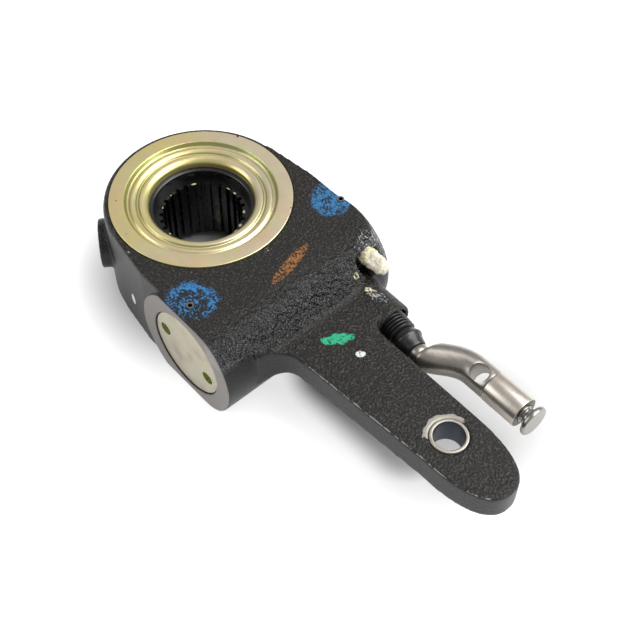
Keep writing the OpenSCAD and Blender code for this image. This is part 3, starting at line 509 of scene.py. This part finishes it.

# Yellow chromate shimmers from straw to pink across the plate, turns olive on slopes, partly its own tint
# and partly painted shade that deepens the steps, and keeps a few dark chips
chromate, tree, spot = begin("yellow_chromate_on_zinc")
plate_height = add(tree, "SeparateXYZ", {0: spot}, out="Z")
faces_up = add(tree, "SeparateXYZ", {0: add(tree, "TexCoord", out="Normal")}, out="Z")
sway = add(tree, "TexNoise", {"Vector": spot, "Scale": 1 / 26.0, "Detail": 1.0})
bloom = add(tree, "TexNoise", {"Vector": spot, "Scale": 1 / 9.0, "Detail": 2.0}, out="Color")
cloud = add(tree, "TexNoise", {"Vector": spot, "Scale": 1 / 4.0, "Detail": 4.0})
fleck = add(tree, "TexNoise", {"Vector": spot, "Scale": 1 / 2.6, "Detail": 1.0})
across = add(tree, "VectorMath", {0: spot, 1: (0.007, 0.0076, 0)}, out="Value", operation="DOT_PRODUCT")
drift = add(tree, "Math", {0: across, 1: sway}, operation="ADD")
lip = region(tree, (plate_height, PLATE_TOP - 2.2, PLATE_TOP - 3.0))
colour = coat(tree, linear("#d8c892"), "#d6c8aa", region(tree, (drift, 0.15, 0.85)))
colour = add(tree, "Mix", {0: 0.35, 6: colour, 7: bloom}, out=2, data_type="RGBA", blend_type="SOFT_LIGHT")
# Partly the chromate's tint and partly painted shade: the slopes darken to olive
colour = coat(tree, colour, "#7f8746", region(tree, (faces_up, 0.97, 0.6)), 0.85)
colour = coat(tree, colour, "#c9b877", lip, 0.6)
colour = coat(tree, colour, "#3a3428", region(tree, (fleck, 0.77, 0.79)))
surface(tree, colour, cloud, (0.24, 0.4), 0.72)
pressing = turned(eased(plate_outline, 0.5, 5), (0, 0, 0), steps=192)
plate = new_piece("cover_plate_pressing", pressing, chromate)
plate.data.shade_smooth()
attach(plate, "housing")
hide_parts("cover_plate")


# End cap: steel disc turned on a lathe, plated and passivated pale yellow.
# A pin spanner in its two blind holes turns it home in the worm's boss, and a lock pin holds it.
CAP_BACK = -37.5
CAP_STEP_R, CAP_STEP_Y = 17.0, -42.5
SPANNER_HOLE_R, SPANNER_HOLE_FLOOR = 3.1, -43.4
SPANNER_RING, SPANNER_TURN = 14, math.radians(15)
DRILL_CLEAR = 1.9
cap_low, cap_high = corners("end_cap")
WORM_X = (cap_low.x + cap_high.x) / 2
CAP_R = cap_high.x - WORM_X
CAP_FACE = cap_low.y


def drilled(piece, drill_mesh):
    """Takes the form of another closed mesh out of a piece."""
    drill = new_piece("drill", drill_mesh, piece.data.materials[0])
    cut = piece.modifiers.new("hole", "BOOLEAN")
    cut.object = drill
    cut.solver = "EXACT"
    settled(piece)
    piece.data.shade_smooth()
    piece.data.set_sharp_from_angle(angle=math.radians(35))
    bpy.data.objects.remove(drill)


# Pale chromate on turned steel is a stained cream with a soft shine, and greener in the holes
pale_zinc, tree, spot = begin("pale_chromate_on_turned_steel")
stain = add(tree, "TexNoise", {"Vector": spot, "Scale": 1 / 9.0, "Detail": 4.0})
depth = add(tree, "SeparateXYZ", {0: spot}, out="Y")
colour = coat(tree, linear("#b0aa94"), "#9c9083", region(tree, (stain, 0.45, 0.75)))
colour = coat(tree, colour, "#b4bd74", region(tree, (depth, CAP_FACE + 0.2, CAP_FACE + 0.8)))
surface(tree, colour, stain, (0.3, 0.5), 0.8)
cap_outline = eased([(0, CAP_FACE), (CAP_R, CAP_FACE, 0.8), (CAP_R, CAP_STEP_Y), (CAP_STEP_R, CAP_STEP_Y),
                     (CAP_STEP_R, CAP_BACK), (0, CAP_BACK)], 0.4)
cap = new_piece("end_cap_disc", turned(cap_outline, (WORM_X, 0, 0), "Y"), pale_zinc)
for side in (-1, 1):
    hole_x = WORM_X + side * SPANNER_RING * math.cos(SPANNER_TURN)
    hole_z = -side * SPANNER_RING * math.sin(SPANNER_TURN)
    hole_line = [(0, CAP_FACE - DRILL_CLEAR), (SPANNER_HOLE_R, CAP_FACE - DRILL_CLEAR),
                 (SPANNER_HOLE_R, SPANNER_HOLE_FLOOR), (0, SPANNER_HOLE_FLOOR)]
    drilled(cap, turned(hole_line, (hole_x, 0, hole_z), "Y", 40))
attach(cap, "housing")
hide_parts("end_cap")


# Adjusting link: steel forged to a leaning rod, a bend and a straight end along the arm, tumbled bright.
# Its eye turns on the rack's pin, a cross hole takes a clevis pin, and its end is bored for the plunger.
LEAN = 7.6
ROD_R, COLLAR_R, FORGED_R = 4.0, 4.7, 6.7
ROD_LEN = 33.0
BEND_LEN = 19.0
BEND_STEPS = 40
HOLE_X, HOLE_R, HOLE_TILT = 138.2, 4.1, math.radians(20)
CROSS_HALF = 9
NOSE_BORE_R, NOSE_BORE_LEN = 2.5, 12
PIN_BORE_R, EYE_HALF = 1.7, 1.95
rack_pin_low, rack_pin_high = corners("rack_pin")
RACK_PIN = (rack_pin_low + rack_pin_high) / 2
sleeve_low, sleeve_high = corners("link_sleeve")
JOINT_X, SLEEVE_END = sleeve_low.x, sleeve_high.x
LINK_Y, LINK_Z = (sleeve_low.y + sleeve_high.y) / 2, RACK_PIN.z
HOLE = Vector((HOLE_X, LINK_Y, LINK_Z))


def swept(path, sides=56):
    """Mesh of a round bar along (centre, heading in degrees, radius) stations in a level plane."""
    bar = bmesh.new()
    rings = []
    for centre, heading, radius in path:
        left = Vector((-math.sin(math.radians(heading)), math.cos(math.radians(heading)), 0))
        down = Vector((0, 0, -1))
        round_bar = (2 * math.pi * j / sides for j in range(sides))
        rings.append([bar.verts.new((centre + radius * (left * math.cos(a) + down * math.sin(a))) * MM)
                      for a in round_bar])
    for here, there in zip(rings, rings[1:]):
        for j in range(sides):
            n = (j + 1) % sides
            bar.faces.new((here[j], here[n], there[n], there[j]))
    bar.faces.new(rings[0])
    bar.faces.new(rings[-1])
    bmesh.ops.recalc_face_normals(bar, faces=bar.faces)
    mesh = bpy.data.meshes.new("swept")
    bar.to_mesh(mesh)
    bar.free()
    return mesh


lean = Vector((math.cos(math.radians(LEAN)), -math.sin(math.radians(LEAN)), 0))
rod_end = RACK_PIN + lean * ROD_LEN
rise = LINK_Y - rod_end.y
rod_line = ((5.0, ROD_R), (29.5, ROD_R), (29.6, 4.5), (29.9, COLLAR_R), (32.4, COLLAR_R), (32.7, 4.5),
            (ROD_LEN, 4.6))
stations = [(RACK_PIN + lean * along, -LEAN, radius) for along, radius in rod_line]
for k in range(1, BEND_STEPS + 1):
    t = k / BEND_STEPS
    slope_deg = math.degrees(math.atan2(math.pi / 2 * math.cos(math.pi / 2 * t) * rise, BEND_LEN))
    share = min(1.0, 3 * t)
    centre = rod_end + Vector((t * BEND_LEN, math.sin(math.pi / 2 * t) * rise, 0))
    shoulder = FORGED_R - 1.3 * max(0.0, 1 - 10 * t) ** 2
    stations.append((centre, slope_deg * share - LEAN * (1 - share), shoulder))
for back, narrower in ((0.5, 0.0), (0.2, 0.3)):
    stations.append((Vector((JOINT_X - back, LINK_Y, LINK_Z)), 0, FORGED_R - narrower))

# Tumbled forged steel is a warm grey, faintly brushed along the bar and smoky in places
forged, tree, spot = begin("tumbled_forged_steel")
lay = add(tree, "Mapping", {"Vector": spot, "Scale": (0.2, 1, 1)})
brush = add(tree, "TexNoise", {"Vector": lay, "Scale": 1 / 0.7, "Detail": 4.0, "Roughness": 0.6})
smoke = add(tree, "TexNoise", {"Vector": spot, "Scale": 1 / 12.0})
colour = add(tree, "Mix", {0: brush, 6: linear("#827e79"), 7: linear("#b5b0a9")}, out=2, data_type="RGBA")
colour = coat(tree, colour, "#9b948c", smoke)
skin = add(tree, "Bump", {"Height": brush, "Strength": 0.15, "Distance": 0.1 * MM})
surface(tree, colour, brush, (0.24, 0.49), 1.0, {"Normal": skin})
link = new_piece("adjusting_link", swept(stations), forged)
cross_line = [(0, -CROSS_HALF), (HOLE_R, -CROSS_HALF), (HOLE_R, CROSS_HALF), (0, CROSS_HALF)]
cross = turned(cross_line, (0, 0, 0), "Z", 64)
cross.transform(Matrix.Translation(HOLE * MM) @ Matrix.Rotation(HOLE_TILT, 4, "X"))
drilled(link, cross)
bore_line = [(0, 0), (NOSE_BORE_R, 0), (NOSE_BORE_R, NOSE_BORE_LEN), (0, NOSE_BORE_LEN)]
drilled(link, turned(bore_line, HOLE, "X", 40))
soften = link.modifiers.new("broken edges", "BEVEL")
soften.width = 0.12 * MM
soften.segments = 2
soften.limit_method = "ANGLE"
soften.angle_limit = math.radians(40)
settled(link)
eye_line = [(PIN_BORE_R, -EYE_HALF), (HOLE_R, -EYE_HALF), (HOLE_R, EYE_HALF), (PIN_BORE_R, EYE_HALF)]
eye = bmesh.new()
eye.from_mesh(link.data)
eye.from_mesh(turned(eye_line, RACK_PIN, "Z", 48))
eye.to_mesh(link.data)
eye.free()
link.data.shade_smooth()
link.data.set_sharp_from_angle(angle=math.radians(45))
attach(link, "link")
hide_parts("link")


# Sleeve and spring plunger: a steel sleeve, turned on a lathe and screwed on the link's end, holds a
# ground plunger with a button. A coil behind its collar keeps it out, and a press on the button sends
# its nose into the cross hole.
SLEEVE_R, SLEEVE_BORE_R, MOUTH_R = 6.9, 5.75, 4.1
MOUTH_X = 159.2
NOSE_R, PLUNGER_COLLAR_R, STEM_R, NECK_R, BUTTON_R = 2.3, 5.4, 3.9, 3.2, 6.9
NOSE_X, PLUNGER_END = 143.3, 167.4

# Turned steel is paler than the forging, streaked round the axis by the tool, and darkened on its end face
# as painted shade under the button
lathe_steel, tree, spot = begin("turned_link_steel")
lay = add(tree, "Mapping", {"Vector": spot, "Scale": (1, 0.12, 0.12)})
feed = add(tree, "TexNoise", {"Vector": lay, "Scale": 1 / 0.5, "Detail": 3.0})
tarnish = add(tree, "TexNoise", {"Vector": spot, "Scale": 1 / 10.0})
faces_end = add(tree, "SeparateXYZ", {0: add(tree, "TexCoord", out="Normal")}, out="X")
colour = add(tree, "Mix", {0: feed, 6: linear("#aaa6a0"), 7: linear("#d6d1c9")}, out=2, data_type="RGBA")
colour = coat(tree, colour, "#c4b9aa", tarnish)
# Painted shade: faces that look along +X, the sleeve's end, are darkened
colour = coat(tree, colour, "#5d5852", region(tree, (faces_end, 0.6, 0.9)))
surface(tree, colour, feed, (0.26, 0.46), 1.0)
sleeve_outline = [(MOUTH_R, SLEEVE_END, 0.2), (SLEEVE_R, SLEEVE_END, 0.5), (SLEEVE_R, JOINT_X, 0.4),
                  (SLEEVE_BORE_R, JOINT_X, 0.1), (SLEEVE_BORE_R, MOUTH_X, 0.1), (MOUTH_R, MOUTH_X, 0.1)]
link_line = (0, LINK_Y, LINK_Z)
sleeve = new_piece("turned_sleeve", turned(eased(sleeve_outline, 0.2), link_line, "X"), lathe_steel)
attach(sleeve, "link")
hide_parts("link_sleeve")
plunger_outline = [(0, NOSE_X), (NOSE_R, NOSE_X, 0.4), (NOSE_R, 156.9), (PLUNGER_COLLAR_R, 156.9),
                   (PLUNGER_COLLAR_R, 158.9), (STEM_R, 158.9), (STEM_R, 161.9, 0.3), (NECK_R, 162.3),
                   (NECK_R, 163.2), (4.0, 163.5, 0.3), (4.0, 165.0, 0.1), (6.4, 165.0, 0.3),
                   (BUTTON_R, 165.6, 0.3), (BUTTON_R, 166.9, 0.4), (6.3, PLUNGER_END, 0.5),
                   (0, PLUNGER_END)]
plunger = new_piece("spring_plunger", turned(eased(plunger_outline, 0.2), link_line, "X"), ground)
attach(plunger, "plunger")
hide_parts("plunger")
coil = new_piece("plunger_coil", nodes["plunger_spring"].data.copy(), wire)
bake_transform(coil)
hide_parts("plunger_spring")


# Boot: black rubber moulded as bellows, tucked into the boss's mouth, with a smooth bulb that grips
# the rod up to the link's collar. The folds are one ring repeated along the leaning rod, and the boot
# is one fixed mesh.
FOLDS = 9
FOLD_PITCH = 1.6
BULB_FROM = 20.6
ROD_GRIP = 4.3
fold_line = [(ROD_GRIP, -1.1), (5.4, -0.9), (6.5, -0.5), (7.0, -0.1), (7.0, 0.15), (6.5, 0.5), (5.4, 0.9),
             (ROD_GRIP, 1.1)]
fold = new_piece("fold", turned(eased(fold_line, 0.25), (0, 0, 0), "Z", 64), rubber)
bulb_line = [(ROD_GRIP, -0.8), (5.3, -0.8), (6.1, 0.0), (6.5, 1.4), (6.8, 2.2), (7.2, 2.8), (7.15, 3.5),
             (6.5, 4.4), (6.0, 5.6), (5.6, 7.2), (5.4, 8.2), (4.9, 8.8), (ROD_GRIP, 8.8)]
bulb = new_piece("bulb", turned(eased(bulb_line, 0.6), (0, 0, 0), "Z", 64), rubber)
group, given = geometry_group("bellows", [("Folds", "NodeSocketInt"), ("Pitch", "NodeSocketFloat")])
step = add(group, "CombineXYZ", {"Z": given["Pitch"]})
folds = add(group, "GeometryNodeMeshLine", {"Count": given["Folds"], "Offset": step})
fold_mesh = add(group, "GeometryNodeObjectInfo", {"Object": fold}, out="Geometry")
bulb_mesh = add(group, "GeometryNodeObjectInfo", {"Object": bulb}, out="Geometry")
rings = add(group, "GeometryNodeInstanceOnPoints", {"Points": folds, "Instance": fold_mesh})
run = add(group, "Math", {0: given["Folds"], 1: given["Pitch"]}, operation="MULTIPLY")
past_folds = add(group, "CombineXYZ", {"Z": run})
end_mesh = add(group, "GeometryNodeTransform", {"Geometry": bulb_mesh, "Translation": past_folds})
whole = add(group, "GeometryNodeJoinGeometry", {"Geometry": rings})
group.links.new(end_mesh, whole.node.inputs["Geometry"])
real = add(group, "GeometryNodeRealizeInstances", {"Geometry": whole})
moulded = add(group, "GeometryNodeSetMaterial", {"Geometry": real, "Material": rubber})
add(group, "NodeGroupOutput", {"Mesh": moulded})
boot = grown("rubber_boot", group, {"Folds": FOLDS, "Pitch": FOLD_PITCH * MM}, rubber)
bpy.data.objects.remove(fold)
bpy.data.objects.remove(bulb)
first_fold = RACK_PIN + lean * (BULB_FROM - FOLDS * FOLD_PITCH)
along_rod = Matrix.Rotation(math.radians(-LEAN), 4, "Z") @ Matrix.Rotation(math.pi / 2, 4, "Y")
boot.data.transform(Matrix.Translation(first_fold * MM) @ along_rod)
boot.data.shade_smooth()
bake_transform(boot)
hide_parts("boot")


# Grease fitting: steel nipple screwed into the shoulder, masked before painting with a thick dab of
# cream coating, which dried into a wrinkled lump with a yellower foot.
FITTING = Vector((66.6, 36.0, 16.5))
THREAD_R = 2.5
LUMP_FOOT, LUMP_END = -0.2, 12.8
POINTS_BETWEEN = 4
WRINKLES = ((0.8, 3.0), (0.45, 1.3), (0.2, 0.6))
FLATS, FLATTEN, FLATS_TURN = 4, 0.072, 0.6

# Dried masking paint is a chalky cream, blotched, and brown in its cracks
coating, tree, spot = begin("cream_masking_paint")
along = add(tree, "SeparateXYZ", {0: spot}, out="X")
blot = add(tree, "TexNoise", {"Vector": spot, "Scale": 1 / 3.0, "Detail": 3.0})
crack = add(tree, "TexVoronoi", {"Vector": spot, "Scale": 1 / 3.2}, feature="DISTANCE_TO_EDGE")
colour = add(tree, "Mix", {0: blot, 6: linear("#bdb6a1"), 7: linear("#dfdaca")}, out=2, data_type="RGBA")
colour = coat(tree, colour, "#cdc8a6", region(tree, (along, 71.5, 69.5)))
colour = coat(tree, colour, "#8a7a58", region(tree, (crack, 0.05, 0.0)), 0.75)
surface(tree, colour, blot, (0.55, 0.55))
lump_line = [(0, -5.0), (THREAD_R, -5.0), (THREAD_R, -0.4), (4.2, -0.1), (4.3, 1.5), (4.0, 3.2), (3.7, 4.6),
             (3.8, 6.4), (3.8, 8.2), (3.6, 9.8), (3.1, 11.2), (2.4, 12.2), (1.3, 12.7), (0, LUMP_END)]
dense = []
for (r0, h0), (r1, h1) in zip(lump_line, lump_line[1:]):
    steps = [k / POINTS_BETWEEN for k in range(POINTS_BETWEEN)]
    dense += [(r0 + (r1 - r0) * t, h0 + (h1 - h0) * t) for t in steps]
lump = new_piece("masked_grease_fitting", turned(dense + [lump_line[-1]], FITTING, "X", 72), coating)
for vertex in lump.data.vertices:
    at = vertex.co / MM
    if at.x > FITTING.x + LUMP_FOOT:
        from_line = Vector((0, at.y - FITTING.y, at.z - FITTING.z))
        bulge = sum(high * wave.noise(at / size) for high, size in WRINKLES)
        flat = FLATTEN * math.cos(FLATS * math.atan2(from_line.z, from_line.y) + FLATS_TURN)
        vertex.co += from_line.normalized() * (bulge + flat * from_line.length) * MM
lump.data.shade_smooth()
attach(lump, "housing")
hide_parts("grease_fitting")


# Clevis bush: steel bush, turned, hardened and plated.
# It is pressed into the arm's eye and stands a little proud of the spot face.
BUSH_BORE_R = 6.4
bush_low, bush_high = corners("arm_bush")
BUSH_R = bush_high.x - ARM

# Plated steel is a pale warm grey, wiped to a soft shine, and its bore wall is coloured a dark blue-grey
bush_steel, tree, spot = begin("plated_bush_steel")
from_pin = add(tree, "VectorMath", {0: spot, 1: (ARM, 0, 0)}, operation="SUBTRACT")
level = add(tree, "VectorMath", {0: from_pin, 1: (1, 1, 0)}, operation="MULTIPLY")
pin_reach = add(tree, "VectorMath", {0: level}, out="Value", operation="LENGTH")
wipe = add(tree, "TexNoise", {"Vector": spot, "Scale": 1 / 1.5, "Detail": 3.0})
colour = add(tree, "Mix", {0: wipe, 6: linear("#8b857a"), 7: linear("#b3ada1")}, out=2, data_type="RGBA")
colour = coat(tree, colour, "#343a44", region(tree, (pin_reach, BUSH_BORE_R + 0.25, BUSH_BORE_R + 0.05)))
surface(tree, colour, wipe, (0.32, 0.52), 0.8)
bush_outline = [(BUSH_BORE_R, bush_low.z, 0.3), (BUSH_R, bush_low.z, 0.3), (BUSH_R, bush_high.z, 0.5),
                (BUSH_BORE_R, bush_high.z, 0.5)]
bush = new_piece("clevis_bush", turned(eased(bush_outline, 0.3), (ARM, 0, 0), "Z", 96), bush_steel)
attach(bush, "housing")
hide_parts("arm_bush")


# Studio: a flat sheet of pale paper, lifted to white by a glow where the eye sees it clear of the part, so
# that it keeps the part's shadow; near the bore, the link and the arm the glow fades out, which paints
# shadow there. A large soft light hangs above, and two fills stand right and left.
SHEET_HALF = 3.0
FLOOR_Z = cad_box[0][2] / MM
PAPER_GREY = 0.54
NEAR_LIFT, FAR_LIFT = 0.7, 0.8
PAINTED_SHADOW_FROM, PAINTED_SHADOW_TO = 36, 74
FAR_FROM, FAR_TO = 250, 700
LINK_WEIGHT, ARM_WEIGHT = 1.15, 2.6
ARM_SHADE_FROM, ARM_SHADE_TO, ARM_SHADE_Y = 85, 130, 8
WORLD_GLOW = 0.45
paper, tree, spot = begin("paper_with_painted_shadow")
rays = add(tree, "LightPath").node.outputs
mirrored = add(tree, "Math", {0: rays["Is Glossy Ray"], 1: rays["Is Transmission Ray"]},
               operation="MAXIMUM")
seen = add(tree, "Math", {0: rays["Is Camera Ray"], 1: mirrored}, operation="MAXIMUM")
sheet = add(tree, "BsdfDiffuse", {"Color": (PAPER_GREY, PAPER_GREY, PAPER_GREY, 1)})
from_bore = add(tree, "VectorMath", {0: spot}, out="Value", operation="LENGTH")
from_link = add(tree, "VectorMath", {0: spot, 1: HOLE}, out="Value", operation="DISTANCE")
shade_start = (ARM_SHADE_FROM, ARM_SHADE_Y, FLOOR_Z)
shade_end = (ARM_SHADE_TO, ARM_SHADE_Y, FLOOR_Z)
before_tip = add(tree, "VectorMath", {0: spot, 1: shade_end}, operation="MINIMUM")
on_arm = add(tree, "VectorMath", {0: before_tip, 1: shade_start}, operation="MAXIMUM")
from_arm = add(tree, "VectorMath", {0: spot, 1: on_arm}, out="Value", operation="DISTANCE")
# Painted shadow: the glow fades out near the bore's axis, the link's cross hole and a line under the arm
near = from_bore
for reach, weight in ((from_link, LINK_WEIGHT), (from_arm, ARM_WEIGHT)):
    weighed = add(tree, "Math", {0: reach, 1: weight}, operation="MULTIPLY")
    near = add(tree, "Math", {0: near, 1: weighed}, operation="MINIMUM")
glow_outside_painted_shadow = add(tree, "MapRange", {0: near, 1: PAINTED_SHADOW_FROM, 2: PAINTED_SHADOW_TO, 4: NEAR_LIFT},
             interpolation_type="SMOOTHSTEP")
beyond = add(tree, "MapRange", {0: from_bore, 1: FAR_FROM, 2: FAR_TO, 4: FAR_LIFT})
clear = add(tree, "Math", {0: glow_outside_painted_shadow, 1: beyond}, operation="ADD")
white = add(tree, "Emission", {"Color": (1, 1, 1, 1),
                               "Strength": add(tree, "Math", {0: seen, 1: clear}, operation="MULTIPLY")})
add(tree, "OutputMaterial", {"Surface": add(tree, "AddShader", {0: sheet, 1: white})})
sweep = bpy.data.meshes.new("sweep")
square = ((-1, -1), (1, -1), (1, 1), (-1, 1))
sheet_corners = [(x * SHEET_HALF, y * SHEET_HALF, FLOOR_Z * MM) for x, y in square]
sweep.from_pydata(sheet_corners, [], [(0, 1, 2, 3)])
floor = new_piece("floor", sweep, paper)

world = bpy.data.worlds.new("studio")
bpy.context.scene.world = world
world.use_nodes = True
tree = world.node_tree
tree.nodes.clear()
camera_ray = add(tree, "LightPath", out="Is Camera Ray")
strength = add(tree, "Math", {0: camera_ray, 1: WORLD_GLOW}, operation="MAXIMUM")
glow = add(tree, "Background", {"Color": (1, 1, 1, 1), "Strength": strength})
add(tree, "OutputWorld", {"Surface": glow})


def soft_light(name, place_mm, aim_mm, size_mm, watts):
    """A rectangular area light that looks at a point."""
    lamp = bpy.data.lights.new(name, "AREA")
    lamp.shape = "RECTANGLE"
    lamp.size, lamp.size_y = size_mm[0] * MM, size_mm[1] * MM
    lamp.energy = watts
    light = bpy.data.objects.new(name, lamp)
    bpy.context.scene.collection.objects.link(light)
    hung = Vector(place_mm)
    look = (Vector(aim_mm) - hung).to_track_quat("-Z", "Y").to_matrix().to_4x4()
    light.matrix_world = Matrix.Translation(hung * MM) @ look


soft_light("overhead", (400, 460, 800), (70, 0, 0), (900, 900), 13.0)
soft_light("low_right", (720, 420, 400), (90, 10, 0), (520, 300), 3.0)
soft_light("side_fill", (-420, -620, 420), (70, 0, 0), (520, 520), 3.2)

CAMERA_AT = Vector((300.5, -204.5, 411.2))
YAW, RISE, ROLL = (math.radians(a) for a in (-42.53, 52.84, 0.90))
back = Vector((math.cos(YAW) * math.cos(RISE), math.sin(YAW) * math.cos(RISE), math.sin(RISE)))
sideward = Vector((-math.sin(YAW), math.cos(YAW), 0))
upright = back.cross(sideward)
right = sideward * math.cos(ROLL) + upright * math.sin(ROLL)
up = upright * math.cos(ROLL) - sideward * math.sin(ROLL)
lens = bpy.data.cameras.new("camera")
lens.sensor_fit = "HORIZONTAL"
lens.sensor_width = 36.0
lens.lens = 68.16
lens.clip_end = 20.0
camera = bpy.data.objects.new("camera", lens)
bpy.context.scene.collection.objects.link(camera)
camera.matrix_world = Matrix.Translation(CAMERA_AT * MM) @ Matrix((right, up, back)).transposed().to_4x4()
bpy.context.scene.camera = camera
bpy.context.scene.view_settings.view_transform = "Standard"
